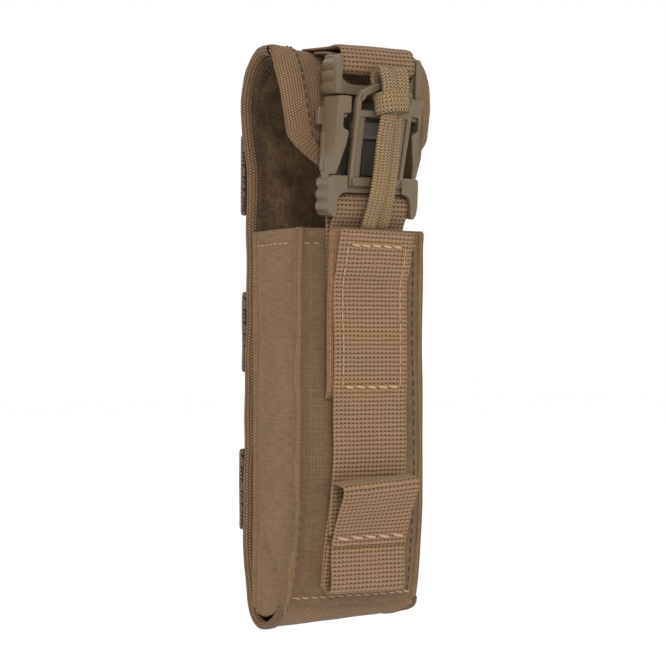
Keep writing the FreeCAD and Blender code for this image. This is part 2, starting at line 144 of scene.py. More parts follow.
def weave(name, mean, px, py, kind="brick", amp=0.5, contrast=0.45, depth=0.00012, mottle=0.16,
          rough=0.9, sheen=0.04, mottle_scale=60.0, k=1.0, slub=0.0, dark=0.5, colgap=0.0):
    """woven cloth: px, py thread pitch in mm along U and V"""
    m = Nodes(name)
    vec, u, v = m.uv()
    px, py = px / 1000.0, py / 1000.0
    # the threads wander a little
    wob = m.noise(vec, 260.0, 2.0)
    v = m.math("ADD", v, m.math("MULTIPLY", m.math("SUBTRACT", wob, 0.5), py * 0.35))
    cu = m.math("DIVIDE", u, px)
    cv = m.math("DIVIDE", v, py)
    if kind == "brick":
        sh = m.math("MULTIPLY", m.math("FLOOR", cu), 0.5)
        pv = m.math("ADD", cv, sh)
        a = m.math("POWER", m.math("ABSOLUTE", m.math("SINE", m.math("MULTIPLY", cu, math.pi))), 0.6)
        b = m.math("POWER", m.math("ABSOLUTE", m.math("SINE", m.math("MULTIPLY", pv, math.pi))), 0.6)
        h = m.math("MULTIPLY", a, b)
    elif kind == "vee":
        t = m.math("FRACT", cv)
        a = m.math("MULTIPLY", m.math("ABSOLUTE", m.math("SUBTRACT", m.math("FRACT", cu), 0.5)), 2.0)
        w = m.math("SUBTRACT", 1.0, m.math("MULTIPLY", t, 1.2))
        tri = m.math("MULTIPLY", m.math("SUBTRACT", w, a), 1.9, clamp=True)
        row = m.math("SUBTRACT", 1.0, m.math("MULTIPLY", t, 7.0), clamp=True)
        row2 = m.math("SUBTRACT", m.math("MULTIPLY", t, 7.0), 6.0, clamp=True)
        col = m.math("MULTIPLY", m.math("SUBTRACT", a, 0.78), 4.5, clamp=True)
        h = m.math("ADD", 0.76, m.math("MULTIPLY", m.math("SINE", m.math("MULTIPLY", t, math.pi)), 0.24))
        h = m.math("SUBTRACT", h, m.math("MULTIPLY", tri, 0.70))
        h = m.math("SUBTRACT", h, m.math("MULTIPLY", m.math("ADD", row, row2), 0.14))
        h = m.math("SUBTRACT", h, m.math("MULTIPLY", col, 0.22), clamp=True)
    else:
        tri = m.math("PINGPONG", cu, 0.5)
        ph = m.math("ADD", cv, m.math("MULTIPLY", tri, 2.0 * amp))
        a = m.math("ABSOLUTE", m.math("SINE", m.math("MULTIPLY", ph, math.pi)))
        g = m.math("POWER", m.math("SUBTRACT", 1.0, a), 0.9)
        b = m.math("ABSOLUTE", m.math("COSINE", m.math("MULTIPLY", cu, math.pi)))
        b = m.math("ADD", m.math("MULTIPLY", m.math("POWER", b, 1.4), 0.9), 0.1)
        h = m.math("ADD", m.math("MULTIPLY", m.math("POWER", a, 0.8), 0.5), 0.5)
        h = m.math("SUBTRACT", h, m.math("MULTIPLY", m.math("MULTIPLY", g, b), 0.8), clamp=True)
        if colgap:
            c = m.math("ABSOLUTE", m.math("SINE", m.math("MULTIPLY", cu, 2.0 * math.pi)))
            c = m.math("ADD", m.math("MULTIPLY", m.math("POWER", c, 0.6), colgap), 1.0 - colgap)
            h = m.math("MULTIPLY", h, c)
    n1 = m.noise(vec, mottle_scale, 4.0)
    n2 = m.noise(vec, 900.0, 2.0)
    f = m.math("ADD", m.math("MULTIPLY", h, contrast), (1.0 - contrast) * 0.5)
    f = m.math("ADD", f, m.math("MULTIPLY", m.math("SUBTRACT", n1, 0.5), mottle * 2.0))
    f = m.math("ADD", f, m.math("MULTIPLY", m.math("SUBTRACT", n2, 0.5), mottle * 1.6), clamp=True)
    if slub:
        n3 = m.noise(vec, 1500.0, 2.0, 0.6, (0.12, 1.0, 1.0))
        n4 = m.noise(vec, 1500.0, 2.0, 0.6, (1.0, 0.12, 1.0))
        f = m.math("ADD", f, m.math("MULTIPLY", m.math("SUBTRACT", n3, 0.5), slub), clamp=True)
        f = m.math("ADD", f, m.math("MULTIPLY", m.math("SUBTRACT", n4, 0.5), slub * 0.5), clamp=True)
    r, g, b_ = mean
    col = m.ramp(f, [(0.0, rgb(r * dark, g * dark * 0.92, b_ * dark * 0.84, k)), (0.5, rgb(r, g, b_, k)),
                     (1.0, rgb(min(r * 1.30, 255), min(g * 1.31, 255), min(b_ * 1.34, 255), k))])
    m.link(col, "Base Color")
    m.bump(m.math("ADD", h, m.math("MULTIPLY", n2, 0.35)), depth)
    m.bsdf.inputs["Roughness"].default_value = rough
    m.bsdf.inputs["Sheen Weight"].default_value = sheen
    m.bsdf.inputs["Sheen Roughness"].default_value = 0.6
    m.bsdf.inputs["Specular IOR Level"].default_value = 0.25
    return m.mat


def fuzzy(name, mean, k=1.0):
    m = Nodes(name)
    vec, u, v = m.uv()
    n1 = m.noise(vec, 95.0, 6.0, 0.65)
    n2 = m.noise(vec, 1500.0, 3.0, 0.7)
    n3 = m.noise(vec, 700.0, 3.0, 0.6, (1.0, 0.35, 1.0))
    f = m.math("ADD", m.math("MULTIPLY", n1, 0.75), m.math("MULTIPLY", n2, 0.45))
    f = m.math("SUBTRACT", m.math("ADD", f, m.math("MULTIPLY", n3, 0.3)), 0.25, clamp=True)
    r, g, b = mean
    m.link(m.ramp(f, [(0.2, rgb(r * 0.55, g * 0.53, b * 0.52, k)), (0.5, rgb(r, g, b, k)),
                      (0.8, rgb(r * 1.6, g * 1.62, b * 1.5, k))]), "Base Color")
    m.bump(m.math("ADD", n2, n3), 0.0005)
    m.bsdf.inputs["Roughness"].default_value = 1.0
    m.bsdf.inputs["Sheen Weight"].default_value = 0.06
    m.bsdf.inputs["Specular IOR Level"].default_value = 0.1
    return m.mat


def plain(name, mean, rough=0.5, vary=0.06, bump=0.00002, scale=400.0, metal=0.0, spec=0.5, k=1.0):
    m = Nodes(name)
    tc = m.nt.nodes.new("ShaderNodeTexCoord")
    n = m.noise(tc.outputs["Object"], scale, 4.0)
    n1 = m.noise(tc.outputs["Object"], 45.0, 3.0)
    f = m.math("MULTIPLY", m.math("ADD", n, n1), 0.5)
    r, g, b = mean
    m.link(m.ramp(f, [(0.3, rgb(r * (1 - vary), g * (1 - vary), b * (1 - vary), k)),
                      (0.7, rgb(min(r * (1 + vary), 255), min(g * (1 + vary), 255),
                                min(b * (1 + vary), 255), k))]), "Base Color")
    m.bump(n, bump)
    m.bsdf.inputs["Roughness"].default_value = rough
    m.bsdf.inputs["Metallic"].default_value = metal
    m.bsdf.inputs["Specular IOR Level"].default_value = spec
    return m.mat



def kk(r, g, b, e=0.98):
    return (r * e, g * e, b * e)


M_TAN = weave("fabric_tan", (131, 107, 80), 0.56, 0.56, "brick", contrast=0.6, depth=0.00006,
              mottle=0.14, k=kk(0.70, 0.63, 0.53), slub=0.55)
# darker copy of fabric_tan: painted shade, the front panel's shading baked into its colour
M_TAN_SHADED = weave("fabric_tan_painted_shade", (118, 95, 71), 0.56, 0.56, "brick", contrast=0.6,
                   depth=0.00006, mottle=0.14, k=kk(0.72, 0.69, 0.66), slub=0.55)
M_BROWN = weave("fabric_brown", (125, 99, 73), 0.84, 0.84, "brick", contrast=0.95, depth=0.00022,
                mottle=0.13, k=kk(0.77, 0.73, 0.69), dark=0.42)
M_WEB = weave("webbing_tan", (143, 114, 85), 1.41, 1.36, "vee", contrast=1.0,
              depth=0.00022, mottle=0.13, k=kk(0.56, 0.542, 0.508), dark=0.36)
M_WEB_IN = weave("webbing_tan_plain", (133, 108, 84), 1.41, 1.36, "vee", contrast=1.0,
                 depth=0.00022, mottle=0.13, k=kk(0.585, 0.545, 0.50), dark=0.34)
M_WEB_BACK = weave("webbing_back", (105, 89, 76), 1.3, 1.2, "vee", contrast=0.9,
                   depth=0.0002, mottle=0.10, k=kk(0.75, 0.75, 0.75), dark=0.4)
M_TAPE = weave("binding_tape", (112, 89, 67), 1.0, 0.95, "brick", contrast=1.0, depth=0.00025,
               mottle=0.18, k=kk(0.80, 0.74, 0.68), dark=0.35)
M_LINING = fuzzy("loop_lining", (92, 74, 56), k=kk(0.80, 0.77, 0.75))
M_CORD = weave("cord_braid", (142, 122, 90), 1.28, 0.92, "zig", amp=0.75, contrast=1.0,
               depth=0.00035, mottle=0.12, rough=0.75, sheen=0.05, k=kk(0.76, 0.69, 0.60), dark=0.25,
               colgap=0.5)
M_THREAD = plain("thread_light", (192, 158, 126), 0.8, 0.08, 0.00003, 1800.0, k=0.75)
M_THREAD_D = plain("thread_brown", (70, 52, 39), 0.85, 0.08, 0.00003, 1800.0, k=0.9)
M_THREAD_M = plain("thread_mid", (150, 120, 90), 0.85, 0.08, 0.00003, 1800.0, k=0.9)
M_PLASTIC = plain("buckle_plastic", (134, 118, 96), 0.40, 0.03, 0.000012, 900.0, spec=0.45,
                  k=kk(0.53, 0.49, 0.44))
M_PLASTIC_D = plain("buckle_shadow", (84, 75, 66), 0.35, 0.05, 0.00002, 500.0, spec=0.4, k=0.55)
M_PLASTIC_G = plain("buckle_window", (112, 104, 94), 0.3, 0.05, 0.00002, 500.0, spec=0.6, k=0.8)
M_SNAP = plain("snap_metal", (70, 62, 52), 0.4, 0.08, 0.00001, 700.0, metal=0.8, spec=0.5)

PIECES = {}


# ----------------------------------------------------------------- helpers
def obj_from(name, V, F, UV, mats, body, face_mat=None, smooth=True, nodes=()):
    """V in design mm"""
    me = bpy.data.meshes.new(name)
    pts = [tuple(P(*p)) for p in V]
    me.from_pydata(pts, [], F)
    uvl = me.uv_layers.new(name="UVMap")
    if UV is not None:
        idx = np.empty(len(me.loops), dtype=np.int32)
        me.loops.foreach_get("vertex_index", idx)
        uvl.data.foreach_set("uv", np.asarray(UV, dtype=np.float32)[idx].ravel() / 1000.0)
    for m in mats if isinstance(mats, (list, tuple)) else [mats]:
        me.materials.append(m)
    if face_mat is not None:
        me.polygons.foreach_set("material_index", face_mat)
    me.polygons.foreach_set("use_smooth", [smooth] * len(me.polygons))
    me.validate()
    me.update()
    ob = bpy.data.objects.new(name, me)
    scene.collection.objects.link(ob)
    if body == "blend":
        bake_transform(ob)
    elif isinstance(body, tuple):
        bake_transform(ob)
    else:
        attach(ob, body)
    if nodes:
        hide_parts(*nodes)
    PIECES[name] = ob
    return ob


def resample(path, step):
    """smooth (Catmull-Rom) resample of an open polyline"""
    p = np.asarray(path, float)
    ext = np.vstack([2 * p[0] - p[1], p, 2 * p[-1] - p[-2]])
    out = []
    for i in range(len(p) - 1):
        a, b, c, d = ext[i:i + 4]
        n = max(2, int(np.linalg.norm(c - b) / 0.15))
        t = np.linspace(0, 1, n, endpoint=False)[:, None]
        # centripetal-ish: damp the tangents so that unequal spacing does not overshoot
        L = np.linalg.norm(c - b)
        m1 = (c - a) / (np.linalg.norm(c - b) + np.linalg.norm(b - a) + 1e-9) * L
        m2 = (d - b) / (np.linalg.norm(d - c) + np.linalg.norm(c - b) + 1e-9) * L
        out.append((2 * t**3 - 3 * t**2 + 1) * b + (t**3 - 2 * t**2 + t) * m1
                   + (-2 * t**3 + 3 * t**2) * c + (t**3 - t**2) * m2)
    q = np.vstack(out + [p[-1:]])
    s = np.r_[0, np.cumsum(np.linalg.norm(np.diff(q, axis=0), axis=1))]
    n = max(2, int(round(s[-1] / step)) + 1)
    t = np.linspace(0, s[-1], n)
    return np.stack([np.interp(t, s, q[:, k]) for k in range(q.shape[1])], 1), t


def grid_normals(C):
    du = np.gradient(C, axis=0)
    dv = np.gradient(C, axis=1)
    n = np.cross(du, dv)
    return n / (np.linalg.norm(n, axis=2, keepdims=True) + 1e-12)


class Sheet:
    """closed cloth solid on a grid of middle-surface points C[n, m, 3] (mm)"""

    def __init__(self, name, C, t, UV, mat, body, nodes=(), flip=False, back_mat=None):
        C = np.asarray(C, float)
        n, m, _ = C.shape
        N = grid_normals(C) * (-1 if flip else 1)
        T = np.broadcast_to(np.asarray(t, float), (n, m))[..., None]
        self.C, self.N, self.T = C, N, T
        front, back = C + N * T / 2, C - N * T / 2
        V = [front.reshape(-1, 3), back.reshape(-1, 3)]
        U = [UV.reshape(-1, 2), UV.reshape(-1, 2)]
        idx = np.arange(n * m).reshape(n, m)
        F, FM = [], []
        a, b, c, d = idx[:-1, :-1], idx[1:, :-1], idx[1:, 1:], idx[:-1, 1:]
        q = np.stack([a, b, c, d], -1).reshape(-1, 4)
        if flip:
            q = q[:, ::-1]
        F += q.tolist()
        F += (q[:, ::-1] + n * m).tolist()
        FM += [0] * len(q) + [1 if back_mat else 0] * len(q)
        # rim with a rounded middle row
        ring = [(i, 0) for i in range(n)] + [(n - 1, j) for j in range(1, m)] + \
               [(i, m - 1) for i in range(n - 2, -1, -1)] + [(0, j) for j in range(m - 2, 0, -1)]
        base = 2 * n * m
        mid, mu = [], []
        for i, j in ring:
            o = np.zeros(3)
            if i == 0:
                v = C[0, j] - C[1, j]
                o += v / (np.linalg.norm(v) + 1e-9)
            if i == n - 1:
                v = C[-1, j] - C[-2, j]
                o += v / (np.linalg.norm(v) + 1e-9)
            if j == 0:
                v = C[i, 0] - C[i, 1]
                o += v / (np.linalg.norm(v) + 1e-9)
            if j == m - 1:
                v = C[i, -1] - C[i, -2]
                o += v / (np.linalg.norm(v) + 1e-9)
            o /= np.linalg.norm(o) + 1e-9
            mid.append(C[i, j] + o * T[i, j, 0] * 0.42)
            mu.append(UV[i, j] + np.array([T[i, j, 0] * (0.5 if j else -0.5), 0]))
        V.append(np.array(mid))
        U.append(np.array(mu))
        R = len(ring)
        for k in range(R):
            k2 = (k + 1) % R
            f0, f1 = idx[ring[k]], idx[ring[k2]]
            m0, m1 = base + k, base + k2
            q1 = [f0, m0, m1, f1]
            q2 = [f0 + n * m, f1 + n * m, m1, m0]
            if flip:
                q1, q2 = q1[::-1], q2[::-1]
            F += [[int(x) for x in q1], [int(x) for x in q2]]
            FM += [0, 0]
        mats = [mat, back_mat] if back_mat else [mat]
        self.ob = obj_from(name, np.vstack(V), F, np.vstack(U), mats, body,
                           FM if back_mat else None, nodes=nodes)

    def at(self, a, b, side=1.0, lift=0.0):
        """a, b in 0..1 along the two grid directions"""
        n, m, _ = self.C.shape
        x, y = a * (n - 1), b * (m - 1)
        i, j = min(int(x), n - 2), min(int(y), m - 2)
        fx, fy = x - i, y - j

        def bl(A):
            return (A[i, j] * (1 - fx) * (1 - fy) + A[i + 1, j] * fx * (1 - fy)
                    + A[i, j + 1] * (1 - fx) * fy + A[i + 1, j + 1] * fx * fy)
        c, nn, t = bl(self.C), bl(self.N), bl(self.T)[0]
        nn = nn / np.linalg.norm(nn)
        return c + nn * side * (t / 2 + lift), nn * side

    def line(self, ab, side=1.0, lift=0.0, step=0.004):
        pts, nrm = [], []
        for (a0, b0), (a1, b1) in zip(ab[:-1], ab[1:]):
            k = max(2, int(max(abs(a1 - a0), abs(b1 - b0)) / step))
            for t in np.linspace(0, 1, k, endpoint=False):
                p, n_ = self.at(a0 + (a1 - a0) * t, b0 + (b1 - b0) * t, side, lift)
                pts.append(p)
                nrm.append(n_)
        p, n_ = self.at(*ab[-1], side, lift)
        return np.array(pts + [p]), np.array(nrm + [n_])


def bumps(C, amp, f=(0.05, 0.09), seed=0):
    """soft hand-made unevenness along the normals"""
    r = np.random.RandomState(seed)
    N = grid_normals(C)
    w = np.zeros(C.shape[:2])
    for _ in range(5):
        k = r.uniform(-1, 1, 3)
        k *= r.uniform(*f) / np.linalg.norm(k) * 2 * math.pi
        w += np.sin(C @ k + r.uniform(0, 6.28))
    return C + N * (w * amp / 2.5)[..., None]


def strip(name, yz, xs, t, mat, body, nodes=(), step=0.8, halfw=None, flip=False, wob=0.0, seed=0,
          edge_thin=True, skew=None, back_mat=None, uoff=0.0, z_of_x=None, nx=None):
    """ribbon whose centre line runs in the YZ plane; xs = (x0, x1); halfw(s)->scale"""
    c, s = resample(yz, step)
    x0, x1 = xs
    nx = nx or max(8, int(abs(x1 - x0) / 0.9))
    xx = np.linspace(x0, x1, nx + 1)
    C = np.zeros((len(c), nx + 1, 3))
    C[:, :, 0] = xx[None, :]
    if halfw is not None:
        w = np.array([halfw(v) for v in s])
        C[:, :, 0] = (x0 + x1) / 2 + (xx - (x0 + x1) / 2)[None, :] * w[:, None]
    C[:, :, 1] = c[:, 0][:, None]
    C[:, :, 2] = c[:, 1][:, None]
    UV = np.stack([C[:, :, 0] + uoff, np.broadcast_to(s[:, None], C.shape[:2])], -1)
    if skew is not None:
        C = skew(C, s)
    if wob:
        C = bumps(C, wob, seed=seed)
    T = np.full(C.shape[:2], float(t))
    if edge_thin:
        T[:, 0] *= 0.62
        T[:, -1] *= 0.62
        T[:, 1] *= 0.92
        T[:, -2] *= 0.92
    sh = Sheet(name, C, T, UV, mat, body, nodes, flip, back_mat)
    sh.s = s
    return sh


STITCH = {}


def stitch(group, pts, nrm, pitch=2.6, length=2.1, r=0.22, side=None, slant=0.0):
    """queue a row of thread stitches along a surface polyline (mm)"""
    seg = np.r_[0, np.cumsum(np.linalg.norm(np.diff(pts, axis=0), axis=1))]
    n = int(seg[-1] / pitch)
    if n < 1:
        return
    pitch = seg[-1] / n
    rs = np.random.RandomState(int(abs(pts[0]).sum() * 10) % 9999)
    for i in range(n):
        mid = (i + 0.5) * pitch + rs.uniform(-0.12, 0.12)
        ln = length * rs.uniform(0.9, 1.08)
        tt = np.linspace(-0.5, 0.5, 6) * ln + mid
        tt = np.clip(tt, 0, seg[-1])
        C = np.stack([np.interp(tt, seg, pts[:, k]) for k in range(3)], 1)
        N = np.stack([np.interp(tt, seg, nrm[:, k]) for k in range(3)], 1)
        N /= np.linalg.norm(N, axis=1, keepdims=True) + 1e-9
        lift = np.array([-0.9, 0.15, 0.42, 0.42, 0.15, -0.9]) * r
        C = C + N * lift[:, None]
        T = np.gradient(C, axis=0)
        T /= np.linalg.norm(T, axis=1, keepdims=True) + 1e-9
        B = np.cross(T, N)
        B /= np.linalg.norm(B, axis=1, keepdims=True) + 1e-9
        N2 = np.cross(B, T)
        C = C + B * (np.linspace(-0.5, 0.5, 6) * slant + rs.uniform(-0.05, 0.05))[:, None]
        rad = np.array([0.55, 0.95, 1.0, 1.0, 0.95, 0.55]) * r
        rings = []
        for q in range(6):
            a = np.arange(6) / 6 * 2 * math.pi
            rings.append(C[q] + (np.cos(a)[:, None] * B[q] + np.sin(a)[:, None] * N2[q]) * rad[q])
        STITCH.setdefault(group, []).append(np.array(rings))


def flush_stitches(groups):
    for group, (mat, body) in groups.items():
        V, F = [], []
        for rings in STITCH.get(group, []):
            o = len(V)
            V += rings.reshape(-1, 3).tolist()
            for i in range(5):
                for j in range(6):
                    a, b = o + i * 6 + j, o + i * 6 + (j + 1) % 6
                    F.append([a, b, b + 6, a + 6])
            F.append([o + j for j in range(5, -1, -1)])
            F.append([o + 30 + j for j in range(6)])
        if V:
            obj_from(group, np.array(V), F, np.array(V)[:, [0, 2]], mat, body)


def tube(path, w, th, side, n=14, step=0.6, taper=None, power=1.0):
    """flattened tube: returns V, F, UV; side(s01) -> width direction (3,)"""
    c, s = resample(path, step)
    T = np.gradient(c, axis=0)
    T /= np.linalg.norm(T, axis=1, keepdims=True)
    V, U, F = [], [], []
    for i, (p, t) in enumerate(zip(c, T)):
        sd = np.asarray(side(s[i] / s[-1]) if callable(side) else side, float)
        sd = sd - t * np.dot(sd, t)
        sd /= np.linalg.norm(sd)
        nn = np.cross(t, sd)
        k = 1.0
        if taper:
            k = taper(s[i] / s[-1])
        for j in range(n):
            a = 2 * math.pi * j / n
            ca, sa = math.cos(a), math.sin(a)
            ca = math.copysign(abs(ca) ** power, ca)
            sa = math.copysign(abs(sa) ** power, sa)
            V.append(p + sd * ca * w / 2 * k + nn * sa * th / 2 * k)
            U.append((ca * w * 0.5 + (w * 2 if sa < 0 else 0), s[i]))
    m = len(c)
    for i in range(m - 1):
        for j in range(n):
            a, b = i * n + j, i * n + (j + 1) % n
            F.append([a, b, b + n, a + n])
    F.append(list(range(n - 1, -1, -1)))
    F.append([(m - 1) * n + j for j in range(n)])
    return np.array(V), F, np.array(U)


def merge(parts):
    V, F, U = [], [], []
    o = 0
    for v, f, u in parts:
        V.append(v)
        U.append(u)
        F += [[x + o for x in q] for q in f]
        o += len(v)
    return np.vstack(V), F, np.vstack(U)


# --------------------------------------------- back panel, hood and tongue
HOOD = [(17.25, 9.4), (17.35, 30), (17.4, 70), (17.4, 120), (17.45, 148), (18.3, 162), (18.4, 170.5),
        (16.6, 177.0), (12.6, 182.2), (6.8, 185.3), (0.4, 185.3), (-5.0, 182.6), (-8.9, 176.9),
        (-10.9, 170.5), (-11.6, 164), (-11.6, 157), (-11.3, 147.9)]
_c, _s = resample(HOOD, 0.8)
S_TOP = _s[np.argmax(_c[:, 1])]
S_END = _s[-1]
S_HINGE = _s[np.argmin(abs(_c[:, 1] - 165) + (_c[:, 0] < 0) * 99)]
S_T0 = _s[np.argmin(abs(_c[:, 1] - 168) + (_c[:, 0] > 0) * 99)]


def hood_half(s):
    w = 24.3
    if s > S_T0:
        k = min(1.0, (s - S_T0) / (S_END - S_T0))
        w = 24.3 - 0.8 * k - 10.5 * max(0.0, (k - 0.45) / 0.55) ** 1.7
    return w / 24.5


def flare(C):
    """the hood is wider than the pouch, and the back panel's edge spreads towards the bottom"""
    z0 = np.where(C[..., 1] > 5, 147.0, 154.0)
    k = np.clip((C[..., 2] - z0) / 15.0, 0, 1)
    low = np.interp(C[..., 2], [8, 13, 21, 34, 52, 68, 86, 102, 122, 140, 156],
                    [0.1, 0.4, 1.25, 1.5, 1.35, 1.05, 0.8, 0.45, 0.4, 0.35, 0.0])
    return 1.8 * k * k * (3 - 2 * k) + low * np.clip((C[..., 1] - 4) / 5, 0, 1)


def hood_skew(C, s):
    """the hood's front edge rolls a little and its sides wander"""
    C = C.copy()
    up = np.clip((s - S_HINGE) / 12.0, 0, 1)[:, None]
    e = (abs(C[:, :, 0]) / 24.5) ** 6
    C[:, :, 0] += np.sign(C[:, :, 0]) * up * 0.5 * np.sin(s * 0.23)[:, None] * e
    fr = np.clip((s - S_TOP - 4) / 10.0, 0, 1)[:, None]
    C[:, :, 1] += fr * e * 1.6
    C[:, :, 0] += flare(C) * C[:, :, 0] / 24.5
    return C


T_back = strip("back_and_hood", HOOD, (-24.5, 24.5), 1.3, M_BROWN, "blend",
               nodes=("back_panel", "flap_shell", "flap_tongue"), halfw=hood_half, wob=0.16,
               seed=3, skew=hood_skew, edge_thin=False, flip=True)


# folded hem along the hood's edge (second layer, 8.5 mm wide, outside)
def hem(side):
    sh = T_back
    n, m, _ = sh.C.shape
    i0 = int(np.searchsorted(sh.s, S_HINGE + 3))
    C, UV = [], []
    ks = np.linspace(0, 1, 13)
    for i in range(i0, n):
        row, ru = [], []
        w = abs(sh.C[i, 0, 0]) if side < 0 else abs(sh.C[i, -1, 0])
        for k in ks:
            tp = min(1.0, (i - i0) / 20.0)
            d = k * (3.6 + 4.6 * tp * tp * (3 - 2 * tp))
            b = d / (2 * w)
            b = b if side < 0 else 1 - b
            p, nn = sh.at(i / (n - 1), min(max(b, 0), 1), -1.0, 0.42 - 0.3 * k ** 4)
            row.append(p)
            ru.append((d, sh.s[i]))
        C.append(row)
        UV.append(ru)
    return np.array(C), np.array(UV)


for tag, sd in (("left", -1), ("right", 1)):
    Ch, Uh = hem(sd)
    Th = np.full(Ch.shape[:2], 0.85)
    Th[:, -1] = 0.45
    hs = Sheet("hood_hem_" + tag, Ch, Th, Uh, M_BROWN, "blend", flip=(sd > 0))
    pts, nr = hs.line([(0.10, 0.86), (0.985, 0.86)], side=1.0)
    o = np.array([0.0, 0.0, 175.0]) - 0
    cen = np.array([0.0, 3.0, 172.0])
    if np.dot(nr[len(nr) // 2], pts[len(pts) // 2] - cen) < 0:
        pts, nr = hs.line([(0.10, 0.86), (0.985, 0.86)], side=-1.0)
    stitch("stitch_hood", pts, nr, 2.9, 2.4, 0.27)

# lining
LIN = [(15.9, 12.5), (15.95, 60), (16.0, 120), (16.05, 148), (16.9, 161), (16.9, 169.8), (15.1, 175.6),
       (11.4, 180.4), (6.2, 183.2), (0.6, 183.2), (-3.9, 181.0), (-7.5, 175.9), (-9.5, 169.8), (-10.0, 163.6)]
LINHALF = 22.9

def lin_skew(C, s):
    C = C.copy()
    C[:, :, 0] += flare(C) * C[:, :, 0] / 24.5
    return C


T_lin = strip("lining", LIN, (-LINHALF, LINHALF), 0.9, M_LINING, "blend",
              nodes=("back_lining", "flap_lining"), wob=0.25, seed=5, edge_thin=True, skew=lin_skew)


def sling_skew(C, s=None):
    C = C.copy()
    k = C[:, :, 0] / 24.0
    m = np.exp(-((C[:, :, 1] - 5.5) / 7.5) ** 2) * np.clip((14 - C[:, :, 2]) / 4, 0, 1)
    C[:, :, 2] += m * (1.2 * k + 0.9)
    return C


# edge binding: tape folded round the edge of panel and lining, carried on round the hood
def binding(side):
    path, s = resample([(-4.45, 10.6), (-4.0, 9.0), (-2.6, 7.5), (1.3, 5.2), (6.0, 3.5), (9.6, 3.3), (13.0, 4.7), (15.7, 8.2),
                        (16.6, 14.0)] + [(y - 0.7, z) for i, (y, z) in
                                         enumerate(HOOD[1:11])], 0.8)
    t = np.gradient(path, axis=0)
    t /= np.linalg.norm(t, axis=1, keepdims=True)
    nrm = np.stack([t[:, 1], -t[:, 0]], 1)      # outward (towards +Y at the back)
    sec = [(-1.9, -1.3), (-1.2, -1.5), (-0.5, -1.5), (0.4, -1.15), (0.95, -0.1), (0.5, 1.05),
           (-0.9, 1.5), (-2.4, 1.5), (-3.9, 1.35)]
    sc, su = resample(sec, 0.55)
    C = np.zeros((len(path), len(sc), 3))
    UV = np.zeros(C.shape[:2] + (2,))
    for i in range(len(path)):
        wv = 0.12 * math.sin(s[i] * 0.31) + 0.1 * math.sin(s[i] * 0.13 + 1)
        k1 = 0.25 + 0.75 * min(1.0, s[i] / 16.0)
        k2 = 0.56 + 0.44 * min(1.0, max(0.0, (s[i] - 12.0) / 12.0))
        for j in range(len(sc)):
            x = 24.4 + sc[j, 0] * k1 + wv
            C[i, j] = (side * x, path[i, 0] + nrm[i, 0] * sc[j, 1] * k2,
                       path[i, 1] + nrm[i, 1] * sc[j, 1] * k2)
            UV[i, j] = (su[j], s[i])
    C = sling_skew(C)
    C[:, :, 0] += side * flare(C)
    sh = Sheet("edge_binding_" + ("left" if side < 0 else "right"), C, 0.45, UV, M_TAPE, "blend",
               nodes=("edge_binding_left" if side < 0 else "edge_binding_right",), flip=(side < 0))
    pts, nr = sh.line([(0.01, 0.90), (0.99, 0.90)], side=1.0)
    if nr[10][1] < 0:
        pts, nr = sh.line([(0.01, 0.90), (0.99, 0.90)], side=-1.0)
    stitch("stitch_binding", pts + nr * 0.12, nr, 2.6, 2.2, 0.3, slant=0.6)
    # the same seam shows on the lining as a chain of crossing stitches
    for off, sl in ((1.9, 0.6), (2.8, -0.6)):
        b = 0.5 + side * (0.5 - off / (2 * LINHALF))
        pts, nr = T_lin.line([(0.52, b), (0.93, b)], side=1.0)
        if nr[10][1] > 0:
            pts, nr = T_lin.line([(0.52, b), (0.93, b)], side=-1.0)
        stitch("stitch_binding", pts + nr * 0.16, nr, 2.3, 2.1, 0.32, slant=sl)


binding(-1)
binding(1)

# --------------------------------------------- front panel and side gussets
ZT = [129.2, 118, 106, 90, 75, 55, 40, 33, 24, 16, 12, 9.6]
Y_CEN = [-13.35, -13.45, -13.5, -13.5, -14.3, -14.9, -14.1, -12.8, -11.0, -9.1, -7.0, -4.4]
Y_COR = [-12.2, -11.9, -11.6, -11.2, -11.2, -11.4, -11.0, -10.2, -8.6, -6.6, -5.2, -3.2]
X_COR = [21.9, 22.0, 22.0, 22.0, 22.1, 22.2, 22.3, 22.4, 22.6, 22.9, 23.2, 23.6]
X_REAR = [24.0, 24.1, 24.1, 24.0, 24.0, 24.0, 24.1, 24.2, 24.2, 24.2, 24.2, 24.2]
zz = np.linspace(128.3, 9.6, 150)


def zi(vals, z):
    return np.interp(-z, [-a for a in ZT], vals)


def panel_row(z, n=56):
    yc, ye, xc = zi(Y_CEN, z), zi(Y_COR, z), zi(X_COR, z)
    x = np.linspace(-xc + 1.8, xc - 1.8, n)
    k = np.clip(abs(x) / xc, 0, 1)
    y = ye + (yc - ye) * (1 - k ** 3.2)
    y = y + 0.28 * np.exp(-((abs(x) - 15.8) / 1.5) ** 2)     # slight hollow beside the strap
    mid = np.stack([x, y, np.full(n, z)], 1)
    ridge = np.array([[1.25, -0.12], [0.95, -0.62], [0.45, -1.12], [-0.1, -1.22], [-0.5, -0.85],
                      [-0.6, -0.2]])
    y = y + 0.75 * np.exp(-((x + xc - 2.9) / 1.3) ** 2)
    mid = np.stack([x, y, np.full(n, z)], 1)
    L = [[-xc + r0 - 0.15, ye + 1.35 * r1, z] for r0, r1 in ridge[::-1]]
    R = [[xc - r0, ye + 0.45 * r1 + 0.1, z] for r0, r1 in ridge]
    return np.vstack([L, mid, R])


